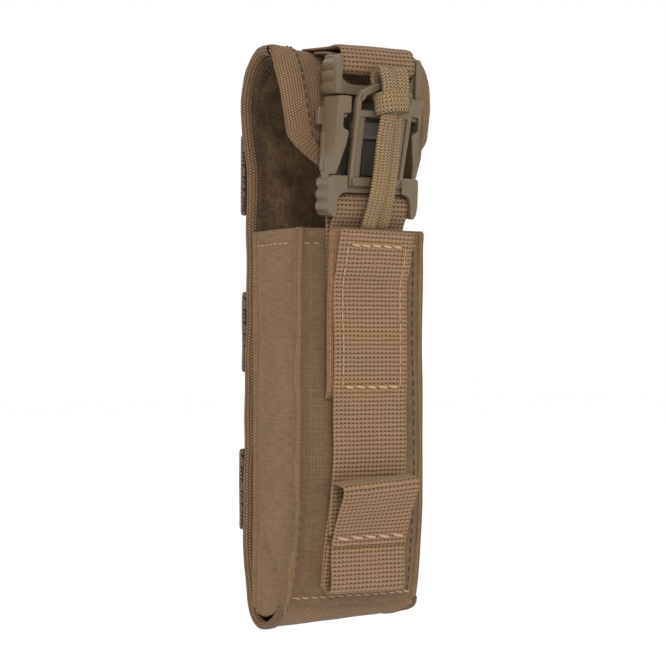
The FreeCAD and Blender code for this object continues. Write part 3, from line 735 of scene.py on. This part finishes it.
Cf = np.array([panel_row(z) for z in zz])
top = np.clip((zz - 125.0) / 4.0, 0, 1)[:, None]
Cf = bumps(Cf, 0.16, (0.02, 0.05), seed=11)
xs_arc = np.r_[0, np.cumsum(np.linalg.norm(np.diff(Cf[60], axis=0), axis=1))]
UVf = np.stack([np.broadcast_to(xs_arc[None, :], Cf.shape[:2]),
                np.broadcast_to((129.2 - zz)[:, None], Cf.shape[:2])], -1)
Tf = np.full(Cf.shape[:2], 0.8) + 0.5 * np.exp(-((zz - 127.0) / 2.2) ** 2)[:, None]
# the front panel takes the darker copy of the tan fabric, painted shade standing in for the panel's shading
T_front = Sheet("front_panel_cloth", Cf, Tf, UVf, M_TAN_SHADED, "pouch", nodes=("front_panel",))
fr_side = 1.0 if T_front.at(0.3, 0.5)[1][1] < 0 else -1.0


def gusset(side):
    rows = []
    for z in zz:
        ye, xc, xr = zi(Y_COR, z), zi(X_COR, z), zi(X_REAR, z)
        tb = np.clip((24.0 - z) / 14.0, 0, 1)
        yr = 15.6
        n = 44
        t = np.linspace(0, 1, n)
        y = yr + (ye + 0.2 - yr) * t
        bulge = 0.75 * np.sin(math.pi * t) ** 0.8
        crease = -0.40 * np.exp(-((t - 0.30) / 0.10) ** 2) - 0.35 * np.exp(-((t - 0.92) / 0.05) ** 2) \
            - 0.75 * np.exp(-((t - 0.115) / 0.03) ** 2) + 0.35 * np.exp(-((t - 0.06) / 0.03) ** 2)
        crease = crease - 1.5 * np.exp(-(((z - 27.0) + 26.0 * (t - 0.42)) / 3.0) ** 2) \
            * np.clip((42 - z) / 14, 0, 1) * np.sin(math.pi * t)
        x = xr + (xc + 0.15 - xr) * t + bulge + crease - tb * 0.8 * np.sin(math.pi * t)
        x = x + 0.18 * np.sin(z * 0.11 + t * 3.0) * np.sin(math.pi * t)
        # the rear of the bottom edge is cut higher, so the sling stands clear of it
        zz_ = z - tb * tb * (3.4 if side < 0 else 1.4) * np.clip(1 - ((t - 0.35) / 0.65) ** 2, 0, 1)
        rows.append(np.stack([side * x, y, zz_], 1))
    C = np.array(rows)
    a = np.r_[0, np.cumsum(np.linalg.norm(np.diff(C[60], axis=0), axis=1))]
    UV = np.stack([np.broadcast_to(a[None, :], C.shape[:2]),
                   np.broadcast_to((129.2 - zz)[:, None], C.shape[:2])], -1)
    T = np.full(C.shape[:2], 0.75) + 0.5 * np.exp(-((zz - 127.0) / 2.2) ** 2)[:, None]
    tag = "left" if side < 0 else "right"
    sh = Sheet("gusset_cloth_" + tag, C, T, UV, M_TAN, "pouch", nodes=("side_gusset_" + tag,),
               flip=(side > 0))
    sd = 1.0 if sh.at(0.3, 0.5)[1][0] * side > 0 else -1.0
    pts, nr = sh.line([(0.036, 0.12), (0.036, 0.86)], side=sd)
    stitch("stitch_pouch_light", pts, nr, 2.9, 2.1, 0.2)
    return sh


G_L, G_R = gusset(-1), gusset(1)
for sd_, tag in ((-1, "left"), (1, "right")):
    pth = [(sd_ * (zi(X_COR, z) - (0.15 if sd_ < 0 else 0.5)) + 0.12 * math.sin(z * 0.21),
            zi(Y_COR, z) - (1.25 if sd_ < 0 else 0.35), z)
           for z in (128.6, 122, 112, 98, 84, 70, 56, 42, 32, 24, 17, 12.5, 10.2)]
    tv, tf_, tu = tube(pth, 1.9 if sd_ < 0 else 1.7, 2.3 if sd_ < 0 else 1.5, (1, 0, 0), n=16,
                       step=0.8)
    obj_from("corner_seam_" + tag, tv, tf_, tu, M_TAN, "pouch")
# hem stitches on the front panel's top margins, topstitch down the right and left edges
nfc = Cf.shape[1]


def fx(x):
    row = Cf[30, :, 0]
    return float(np.interp(x, row, np.linspace(0, 1, nfc)))


for x0, x1 in ((-20.5, -14.4), (14.4, 20.5)):
    pts, nr = T_front.line([(0.036, fx(x0)), (0.036, fx(x1))], side=fr_side)
    stitch("stitch_pouch_light", pts, nr, 2.8, 2.0, 0.17)
for x0 in (-20.6, 18.6):
    pts, nr = T_front.line([(0.045 if x0 > 0 else 0.70, fx(x0)), (0.97, fx(x0))], side=fr_side)
    stitch("stitch_pouch_dark" if x0 > 0 else "stitch_pouch_tone", pts, nr, 3.1, 2.5, 0.27 if x0 > 0 else 0.2)
pts, nr = T_front.line([(0.968, fx(-19.9)), (0.968, fx(19.9))], side=fr_side)
stitch("stitch_pouch_light", pts, nr, 3.0, 2.6, 0.26, slant=0.5)

# bottom flange and sling
SLING = [(-4.6, 11.6), (-4.2, 9.0), (-2.6, 7.4), (1.5, 5.0), (6.0, 3.3), (9.5, 3.2), (13.0, 4.6),
         (15.9, 8.2), (17.0, 12.0)]


T_sling = strip("bottom_sling_cloth", SLING, (-24.2, 24.2), 1.2, M_BROWN, "pouch",
                nodes=("bottom_sling",), wob=0.12, seed=8, skew=sling_skew)
for b in (0.03, 0.97):
    for sd in (1.0, -1.0):
        pts, nr = T_sling.line([(0.05, b), (0.95, b)], side=sd)
        stitch("stitch_pouch_tone", pts, nr, 2.9, 2.2, 0.2)

# ------------------------------------------------------------ lower strap
LOW = [(-14.3, 84.0), (-14.32, 95), (-14.3, 106), (-14.0, 122), (-13.9, 130), (-13.6, 135.4),
       (-14.6, 138.6), (-16.7, 139.5), (-18.9, 138.4), (-19.9, 135.6), (-19.0, 132.6), (-16.9, 129.3),
       (-15.75, 124), (-15.55, 106), (-15.55, 84.0)]
strip("lower_strap_webbing", LOW, (-12.7, 12.7), 1.1, M_WEB_IN, "pouch", nodes=("lower_strap",),
      step=0.6, wob=0.05, seed=4)

# ---------------------------------------------------------------- overlay
OVL = [(-15.1, 75.8), (-16.35, 80.0), (-16.5, 90), (-16.75, 108), (-18.0, 114), (-20.0, 121),
       (-20.8, 124.6), (-21.6, 128.0)]
def ovl_skew(C, s):
    C = C.copy()
    up = np.clip((C[:, :, 2] - 111.0) / 15.0, 0, 1)
    C[:, :, 1] += 3.0 * up * (abs(C[:, :, 0]) / 13.7) ** 5
    C[:, :, 0] += 0.3 * up * np.sign(C[:, :, 0]) * (abs(C[:, :, 0]) / 13.7) ** 5
    return C


T_ovl = strip("overlay_tab_cloth", OVL, (-13.7, 13.7), 0.6, M_TAN, "pouch",
              nodes=("overlay_tab",), wob=0.10, seed=2, skew=ovl_skew)
pts, nr = T_ovl.line([(0.03, 0.035), (0.97, 0.035)], side=1.0)
if nr[5][1] > 0:
    pts, nr = T_ovl.line([(0.03, 0.035), (0.97, 0.035)], side=-1.0)
stitch("stitch_pouch_tone", pts, nr, 2.5, 1.9, 0.18)

# ---------------------------------------------------------- front webbing
FW = [(-10.4, 16.8), (-13.6, 32.5), (-16.0, 43.5), (-16.9, 51.5), (-17.3, 60), (-17.2, 75),
      (-17.45, 84), (-17.5, 95), (-17.7, 110.5), (-19.5, 115.6), (-21.3, 121.6), (-22.3, 125.2),
      (-22.9, 127.4)]


def fw_skew(C, s):
    C = C.copy()
    C[:, :, 1] += 0.25 * (C[:, :, 0] / 12.7) ** 2
    C[:, :, 0] += 0.12 * np.sin(C[:, :, 2] * 0.16)
    C[:, :, 0] += 0.6 + 0.5 * np.clip((122 - C[:, :, 2]) / 15, 0, 1) - 1.1 * np.clip((60 - C[:, :, 2]) / 25, 0, 1)
    C[:, :, 2] -= 0.35 * (C[:, :, 0] / 12.7) * np.clip((C[:, :, 2] - 118) / 8, 0, 1)
    return C


T_fw = strip("front_webbing_strap", FW, (-12.7, 12.7), 1.25, M_WEB, "pouch",
             nodes=("front_webbing",), step=0.5, wob=0.10, seed=9, skew=fw_skew, nx=40)
fw_side = 1.0 if T_fw.at(0.5, 0.5)[1][1] < 0 else -1.0


def fw_a(z):
    zc = T_fw.C[:, 20, 2]
    return float(np.interp(z, zc, np.linspace(0, 1, len(zc))))


def fw_b(x):
    return (x + 12.7) / 25.4


for (xa, za), (xb, zb), p, r in (((-9.2, 123.2), (9.2, 123.2), 3.4, 0.36),
                                 ((-9.6, 79.2), (9.6, 79.2), 3.5, 0.42),
                                 ((-10.2, 123.2), (-10.2, 79.2), 3.2, 0.17),
                                 ((10.2, 123.2), (10.2, 79.2), 3.2, 0.17)):
    pts, nr = T_fw.line([(fw_a(za), fw_b(xa)), (fw_a(zb), fw_b(xb))], side=fw_side)
    pts = pts + nr * 0.16
    stitch("stitch_webbing_light" if r > 0.2 else "stitch_webbing_fine", pts, nr, p, p * 0.88, r * 1.15,
           slant=0.35 if r > 0.2 else 0.0)

# lower loop: two layers with a fold at the bottom, sewn on under the pull tab
LOOP = [(-14.9, 30.5), (-13.5, 25.0), (-12.2, 19.5), (-12.1, 17.0), (-13.2, 15.8), (-15.6, 15.5),
        (-17.1, 16.2), (-17.6, 18.2), (-17.7, 24.0), (-17.7, 29.9), (-17.8, 32.4)]
strip("lower_loop_webbing", LOOP, (-12.7, 12.7), 1.1, M_WEB, "pouch", nodes=("tab_anchor_loop",),
      step=0.5, wob=0.06, seed=12)

# pull tab (folded over at the top)
TAB = [(-16.3, 33.6), (-16.4, 38.0), (-17.35, 43.5), (-18.1, 48.4), (-18.9, 50.3), (-21.0, 50.6),
       (-24.6, 50.1), (-26.3, 49.7), (-26.9, 48.6), (-26.3, 46.6), (-23.2, 41.4), (-20.0, 35.6),
       (-18.7, 32.4), (-18.3, 30.0)]


def tab_skew(C, s):
    C = C.copy()
    k = C[:, :, 0] / 12.7
    h = np.clip((C[:, :, 2] - 31.0) / 18.0, 0, 1)
    C[:, :, 2] += h * (0.85 * k)
    f = np.clip((-C[:, :, 1] - 18.5) / 5.0, 0, 1)
    C[:, :, 1] += f * (h * (0.55 * k) + h * 0.5 * (k ** 2))
    C[:, :, 0] += h * (0.6 * k + 0.2)
    return C


T_tab = strip("pull_tab_webbing", TAB, (-12.7, 12.7), 1.15, M_WEB,
              ("pouch", "tab", P(0, -17.6, 40.0), P(0, -23.6, 40.0)), nodes=("pull_tab",),
              step=0.5, wob=0.08, seed=21, skew=tab_skew)
zc = T_tab.C[:, 10, 2]
half = int(np.argmin(T_tab.C[:, 10, 1]))
a32 = (half + int(np.argmin(abs(zc[half:] - 32.7)))) / (len(zc) - 1)
tside = 1.0 if T_tab.at(a32, 0.5)[1][1] < 0 else -1.0
pts, nr = T_tab.line([(a32, 0.03), (a32, 0.97)], side=tside)
pts = pts + nr * 0.18
stitch("stitch_tab", pts, nr, 4.2, 3.8, 0.5, slant=0.7)

# ------------------------------------------------------------ upper strap
UP = [(3.5, 186.7), (-2.0, 186.2), (-8.0, 185.5), (-14.5, 184.9), (-20.2, 184.7), (-22.8, 183.6),
      (-24.1, 181.0), (-24.6, 178.6), (-24.0, 176.7), (-21.9, 176.1), (-19.5, 177.0), (-17.4, 179.2),
      (-16.6, 182.0), (-13.5, 183.4), (-9.0, 184.1), (-5.0, 184.5)]
strip("upper_strap_webbing", UP, (-12.5, 12.7), 1.0, M_WEB_IN, "hood", nodes=("upper_strap",),
      step=0.5, wob=0.06, seed=14)

# ------------------------------------------------------ back of the pouch
def pals(name, zc, node, seed, spread):
    xs_ = [(-24.7, 18.3), (-24.9, 19.4), (-23.5, 20.35), (-17, 20.6), (-12.9, 20.9), (0, 21.0),
           (12.9, 20.9), (17, 20.6), (23.5, 20.35), (24.9, 19.4), (24.7, 18.3)]
    c, s = resample(xs_, 0.8)
    zs = np.linspace(-12.7, 12.7, 29)
    C = np.zeros((len(c), 29, 3))
    C[:, :, 0] = (c[:, 0] * (1 + spread / 24.9))[:, None]
    C[:, :, 1] = c[:, 1][:, None]
    C[:, :, 2] = zc + zs[None, :]
    C = bumps(C, 0.08, seed=seed)
    UV = np.stack([np.broadcast_to(zs[None, :], C.shape[:2]), np.broadcast_to(s[:, None], C.shape[:2])], -1)
    T = np.full(C.shape[:2], 1.15)
    T[:, 0] = T[:, -1] = 0.7
    sh = Sheet(name, C, T, UV, M_WEB_BACK, "pouch", nodes=(node,))
    sd = 1.0 if sh.at(0.5, 0.5)[1][1] > 0 else -1.0
    for b in (0.09, 0.91):
        pts, nr = sh.line([(b, 0.06), (b, 0.94)], side=sd)
        stitch("stitch_back", pts, nr, 2.4, 1.9, 0.26, slant=0.4)
    return sh


pals("pals_webbing_top", 147.4, "pals_row_top", 31, 1.5)
pals("pals_webbing_middle", 96.6, "pals_row_middle", 32, 1.1)
pals("pals_webbing_bottom", 45.8, "pals_row_bottom", 33, 2.0)
ATT = [(19.4, 162.2), (19.0, 152), (18.8, 140), (18.85, 90), (18.85, 50), (18.8, 30), (18.9, 15.2), (19.5, 14.0),
       (20.1, 15.2), (19.9, 24.5)]
T_att = strip("attachment_strap_webbing", ATT, (-12.7, 12.7), 1.1, M_WEB_BACK, "pouch",
              nodes=("attachment_strap",), wob=0.05, seed=17)
asd = 1.0 if T_att.at(0.2, 0.5)[1][1] > 0 else -1.0
for a in (0.012, 0.05):
    pts, nr = T_att.line([(a, 0.06), (a, 0.94)], side=asd)
    stitch("stitch_back", pts, nr, 2.6, 2.1, 0.26, slant=0.4)


def lathe(name, prof, centre, axis_sign, mat, nodes):
    """profile (r, h) turned about the Y axis"""
    n = 48
    V, F = [], []
    for r, h in prof:
        for j in range(n):
            a = 2 * math.pi * j / n
            V.append((centre[0] + r * math.cos(a), centre[1] + axis_sign * h,
                      centre[2] + r * math.sin(a)))
    for i in range(len(prof) - 1):
        for j in range(n):
            a, b = i * n + j, i * n + (j + 1) % n
            F.append([a, b, b + n, a + n] if axis_sign < 0 else [a, a + n, b + n, b])
    F.append([j for j in range(n)] if axis_sign > 0 else [j for j in range(n - 1, -1, -1)])
    e = (len(prof) - 1) * n
    F.append([e + j for j in range(n - 1, -1, -1)] if axis_sign > 0 else [e + j for j in range(n)])
    V = np.array(V)
    return obj_from(name, V, F, V[:, [0, 2]], mat, "pouch", nodes=nodes)


lathe("snap_cap_disc", [(6.3, 0.0), (6.5, 0.35), (6.35, 0.8), (5.6, 1.25), (4.9, 1.35), (4.5, 1.15),
                        (3.4, 1.25), (1.5, 1.45), (0.4, 1.5)], (0, 20.3, 22.0), 1, M_SNAP,
      ("snap_cap",))
lathe("snap_rivet_disc", [(4.9, 0.0), (5.0, 0.3), (4.6, 0.75), (3.6, 0.85), (3.1, 0.6), (2.2, 0.55),
                          (1.9, 0.3), (0.5, 0.25)], (0, 15.5, 22.0), -1, M_SNAP, ("snap_rivet",))

# ------------------------------------------------------------------ buckle
BY, BZ = -17.0, 141.0
C5, S5 = math.cos(math.radians(5)), math.sin(math.radians(5))
C10, S10 = math.cos(math.radians(10)), math.sin(math.radians(10))


def bk(p):
    x, y, z = p
    return (x, BY + y * C5 - z * S5, BZ + y * S5 + z * C5)


def lv(p):
    """lever frame -> design mm"""
    x, y, z = p
    return bk((x, -4.5 + y * C10 - z * S10, 2.0 + y * S10 + z * C10))


def prism(pts, y0, y1, front=None):
    """extrude an XZ outline from y0 (front) to y1 (rear); front(z) tapers the front face"""
    pts = [tuple(p) for p in pts]
    ar = sum(a[0] * b[1] - b[0] * a[1] for a, b in zip(pts, pts[1:] + pts[:1]))
    if ar < 0:
        pts = pts[::-1]
    n = len(pts)
    V = [(x, front(z) if front else y0, z) for x, z in pts] + [(x, y1, z) for x, z in pts]
    F = [list(range(n)), [n + i for i in range(n - 1, -1, -1)]]
    for i in range(n):
        j = (i + 1) % n
        F.append([j, i, n + i, n + j])
    return V, F


def mirror(pts):
    return [(-x, z) for x, z in pts][::-1]


def rod(x0, x1, y, z, r, n=24):
    V, F = [], []
    for x in (x0, x1):
        for j in range(n):
            a = 2 * math.pi * j / n
            V.append((x, y + r * math.cos(a), z + r * math.sin(a)))
    for j in range(n):
        k = (j + 1) % n
        F.append([j, k, n + k, n + j])
    F += [list(range(n - 1, -1, -1)), [n + j for j in range(n)]]
    return V, F


def solid(name, parts, conv, body, mats, nodes=(), bevel=0.45, pm=None, seg=3):
    V, F, FM = [], [], []
    for k, (v, f) in enumerate(parts):
        o = len(V)
        V += [conv(p) for p in v]
        F += [[i + o for i in q] for q in f]
        FM += [pm[k] if pm else 0] * len(f)
    V = np.array(V)
    ob = obj_from(name, V, F, V[:, [0, 2]], mats, body, FM if pm else None, smooth=True, nodes=nodes)
    b = ob.modifiers.new("round", "BEVEL")
    b.width = bevel / 1000.0
    b.segments = seg
    b.limit_method = "ANGLE"
    b.angle_limit = math.radians(38)
    b.harden_normals = False
    w = ob.modifiers.new("wn", "WEIGHTED_NORMAL")
    w.keep_sharp = False
    return ob


def lobes(z0, z1, x, amp, n=3, flat=0.0):
    out = []
    for t in np.linspace(0, 1, n * 8 + 1):
        out.append((x + amp * abs(math.sin(math.pi * n * t)) ** 0.7, z0 + (z1 - z0) * t))
    return out


# top half: strap bar, cross bar with fillets, two ribbed tabs
tf = [(12.9, 28.8), (14.2, 28.8), (14.8, 29.6), (14.95, 36.6), (14.85, 39.2), (14.5, 40.4),
      (13.8, 41.0), (13.2, 40.8), (12.9, 40.0)]
tr = [(12.9, 28.9), (14.2, 28.9)] + lobes(29.2, 39.6, 14.3, 0.75) + [(14.3, 40.6), (13.6, 41.0),
                                                                    (12.9, 40.2)]
cross = [(-13.2, 28.8), (13.2, 28.8), (13.2, 38.2), (12.75, 35.6), (11.9, 33.6), (10.6, 32.5),
         (8.6, 31.9), (-8.6, 31.9), (-10.6, 32.5), (-11.9, 33.6), (-12.75, 35.6), (-13.2, 38.2)]
parts = [prism(cross, -3.6, 2.4), rod(-13.2, 13.2, 0.3, 39.0, 1.9)]
for s_ in (1, -1):
    f_, r_ = (tf, tr) if s_ > 0 else (mirror(tf), mirror(tr))
    parts += [prism(f_, -5.2, -2.6), prism(r_, -2.8, 4.9)]
solid("buckle_top_moulding", parts, bk, "hood", M_PLASTIC, ("buckle_top",), bevel=0.42)

# base: two ribbed tabs, corner walls, lower bar, cross member, rear plate
bf = [(9.5, 3.95), (14.6, 3.95), (15.3, 3.2), (15.45, 1.0), (15.45, -5.0), (15.1, -7.4), (14.4, -8.7),
      (13.6, -8.9), (13.0, -8.2), (12.85, -6.0), (12.75, -3.9), (12.3, -2.5), (11.4, -1.6), (10.2, -1.3),
      (9.5, -1.3)]
br = [(12.9, 3.8)] + lobes(3.4, -7.6, 14.6, 0.8) + [(14.3, -8.6), (13.6, -8.8), (13.0, -8.0),
                                                    (12.9, -5.5)]
parts = [rod(-13.2, 13.2, 0, -4.6, 1.9), prism([(-12.9, -1.3), (12.9, -1.3), (12.9, 1.1), (-12.9, 1.1)],
                                           -3.9, 2.4)]
pm = [0, 0]
for s_ in (1, -1):
    f_, r_ = (bf, br) if s_ > 0 else (mirror(bf), mirror(br))
    parts += [prism(f_, -5.3, -2.6), prism(r_, -2.8, 5.4)]
    pm += [0, 0]
parts += [prism([(-9.4, -1.0), (9.4, -1.0), (9.4, 27.4), (-9.4, 27.4)], 1.3, 2.6),
          prism([(-6.8, 1.0), (-1.0, 1.0), (-1.0, 11.0), (-6.8, 11.0)], 0.5, 1.6),
          prism([(-6.8, 15.6), (6.8, 15.6), (6.8, 21.0), (-6.8, 21.0)], 0.3, 1.6),
          prism([(-2.2, 4.0), (6.8, 4.0), (6.8, 15.0), (-2.2, 15.0)], -0.2, 1.6)]
pm += [1, 1, 2, 1]
solid("buckle_base_moulding", parts, bk, "pouch", [M_PLASTIC, M_PLASTIC_D, M_PLASTIC_G],
      ("buckle_base",), bevel=0.4, pm=pm)

# latch arms
arm = [(15.05, 4.05), (15.35, 10.0), (15.3, 20.0), (14.95, 27.4), (14.3, 28.2), (10.9, 28.2),
       (10.5, 27.6), (10.5, 23.4), (10.9, 22.9), (13.0, 22.8), (13.1, 18.9), (12.7, 18.2),
       (11.4, 17.8), (11.0, 16.8), (11.6, 13.0), (12.9, 7.5), (13.3, 4.05)]
prong = [(10.9, 23.0), (13.2, 23.0), (13.2, 21.3), (11.6, 21.5)]
nub = [(12.6, 19.4), (16.6, 19.4), (16.9, 20.0), (16.9, 24.4), (16.5, 25.0), (12.6, 25.0)]


def arm_front(z):
    """the arm thins towards its root"""
    return float(np.interp(z, [4.0, 7.5, 13.0, 17.0, 28.0], [-4.2, -5.6, -7.0, -7.5, -7.6]))


for tag, s_ in (("left", -1), ("right", 1)):
    A = arm if s_ > 0 else mirror(arm)
    Pn = prong if s_ > 0 else mirror(prong)
    Nb = nub if s_ > 0 else mirror(nub)
    root = [(13.4, 2.9), (15.0, 2.9), (15.0, 5.2), (13.4, 5.2)]
    Rt = root if s_ > 0 else mirror(root)
    rib = [(15.0, 5.0), (15.62, 5.4), (15.62, 17.0), (15.0, 18.0)]
    Rb = rib if s_ > 0 else mirror(rib)
    solid("latch_arm_" + tag + "_moulding",
          [prism(A, -7.6, 3.2, arm_front), prism(Pn, -6.4, 2.0), prism(Rt, -2.2, 3.0), prism(Nb, 2.2, 4.7), prism(Rb, 1.0, 3.1)], bk,
          "latch_" + tag, M_PLASTIC, ("latch_arm_" + tag,), bevel=0.5)

# release lever: rails with a stepped inner edge, cross bars, sloping shoulders
H = 1.2


def rail(s_):
    pts = [(9.3, -1.1), (9.9, 25.4), (9.0, 27.6), (7.5, 28.2), (8.2, 25.2), (7.9, 0.6), (7.4, -1.1)]
    return prism(pts if s_ > 0 else mirror(pts), -H, H)


def ledge(s_):
    pts = [(8.3, 1.0), (8.5, 21.2), (6.1, 21.2), (5.7, 1.0)]
    return prism(pts if s_ > 0 else mirror(pts), -0.55, H)


def shoulder(s_):
    pts = [(9.7, 25.0), (8.8, 28.4), (3.2, 31.0), (2.6, 28.9), (6.6, 27.0), (7.7, 25.2)]
    return prism(pts if s_ > 0 else mirror(pts), -H, H)


parts = [rail(1), rail(-1), ledge(1), ledge(-1), shoulder(1), shoulder(-1),
         prism([(-9.3, -1.1), (9.3, -1.1), (9.3, 1.7), (-9.3, 1.7)], -H, H),
         prism([(-8.6, 20.4), (8.6, 20.4), (8.6, 22.5), (-8.6, 22.5)], -H, H),
         prism([(-3.6, 28.9), (3.6, 28.9), (3.3, 31.0), (-3.3, 31.0)], -H, H)]
solid("release_lever_moulding", parts, lv, "lever", M_PLASTIC, ("release_lever",), bevel=0.42)

# --------------------------------------------------------------- pull cord
X1 = (1, 0, 0)
hitch = []
# two strands over the lever's top bar
for xa, xb, tw in ((-1.9, -1.3, -0.25), (2.75, 2.3, 0.25)):
    pth = [(xb, -33.0, 163.6), (xb, -34.0, 167.6), ((xa + xb) / 2, -34.2, 171.8), (xa, -32.9, 175.2),
           (xa, -30.3, 176.3), (xa + 0.1, -27.6, 174.9), (xb, -26.9, 171.2), (xb, -28.0, 167.2)]
    hitch.append(tube(pth, 5.3, 2.6, (1, 0, tw), n=16, step=0.5, power=0.85))
# collar across the front, wrapped round both sides
pth = [(2.8, -28.2, 166.0), (4.2, -30.3, 166.2), (4.3, -33.2, 166.6), (3.0, -34.9, 166.8),
       (0.5, -35.5, 166.6), (-2.0, -35.0, 166.3), (-3.4, -33.4, 166.0), (-3.4, -30.6, 165.8),
       (-1.9, -28.4, 165.8)]
hitch.append(tube(pth, 7.2, 2.5, (0, 0.12, 1), n=16, step=0.5, power=0.8))
V_, F_, U_ = merge(hitch)
obj_from("pull_cord_hitch_braid", V_, F_, U_, M_CORD, "lever", nodes=("pull_cord_hitch",))
legs = []
pth = [(-0.8, -32.6, 168.0), (-1.1, -32.9, 163.0), (-1.3, -30.4, 155.5), (-1.0, -28.0, 147.0),
       (-1.2, -25.8, 139.0), (-1.7, -22.6, 131.8), (-1.7, -19.9, 127.6), (-1.7, -18.5, 124.0)]
legs.append(tube(pth, 5.0, 2.9, (1, -0.12, 0), n=18, step=0.6, power=0.9))
pth = [(1.6, -30.9, 168.0), (2.3, -31.3, 163.0), (3.1, -29.2, 155.5), (3.3, -26.9, 147.0),
       (3.3, -24.8, 139.0), (3.5, -21.5, 131.8), (3.6, -18.9, 127.6), (3.6, -18.0, 124.0)]
legs.append(tube(pth, 4.6, 2.7, (1, 0.22, 0), n=18, step=0.6, power=0.85))
V_, F_, U_ = merge(legs)
obj_from("pull_cord_legs_braid", V_, F_, U_, M_CORD,
         ("pouch", "lever", P(0, -18, 128.0), P(0, -33, 163.0)), nodes=("pull_cord_legs",))

flush_stitches({
    "stitch_hood": (M_THREAD_D, "blend"), "stitch_binding": (M_THREAD_D, "blend"),
    "stitch_pouch_light": (M_THREAD, "pouch"), "stitch_pouch_dark": (M_THREAD_D, "pouch"),
    "stitch_pouch_tone": (M_THREAD_M, "pouch"), "stitch_webbing_light": (M_THREAD, "pouch"),
    "stitch_webbing_fine": (M_THREAD, "pouch"), "stitch_tab": (M_THREAD, "pouch"),
    "stitch_back": (M_THREAD_M, "pouch")})

# -------------------------------------------------------- floor and lights
bpy.ops.mesh.primitive_plane_add(size=12.0, location=(0, 0, -0.22))
floor = bpy.context.object
floor.name = "floor"
fm = bpy.data.materials.new("floor_pale")
fm.use_nodes = True
fb = fm.node_tree.nodes["Principled BSDF"]
fb.inputs["Base Color"].default_value = (1.0, 1.0, 1.0, 1)
fb.inputs["Roughness"].default_value = 0.9
floor.data.materials.append(fm)

world = bpy.data.worlds.new("studio")
scene.world = world
world.use_nodes = True
bg = world.node_tree.nodes["Background"]
bg.inputs[0].default_value = (1.0, 1.0, 1.0, 1)
bg.inputs[1].default_value = 1.0


def area(name, loc, size, power, col=(1, 1, 1)):
    L = bpy.data.lights.new(name, "AREA")
    L.energy = power
    L.size = size
    L.color = col
    ob = bpy.data.objects.new(name, L)
    scene.collection.objects.link(ob)
    ob.location = loc
    ob.rotation_euler = (Vector((0, -0.02, 0)) - Vector(loc)).to_track_quat("-Z", "Y").to_euler()
    return ob


area("key", (-0.30, -1.05, 0.5), 0.35, 5.2)
area("fill", (-0.95, -0.3, 0.35), 0.4, 0.8)
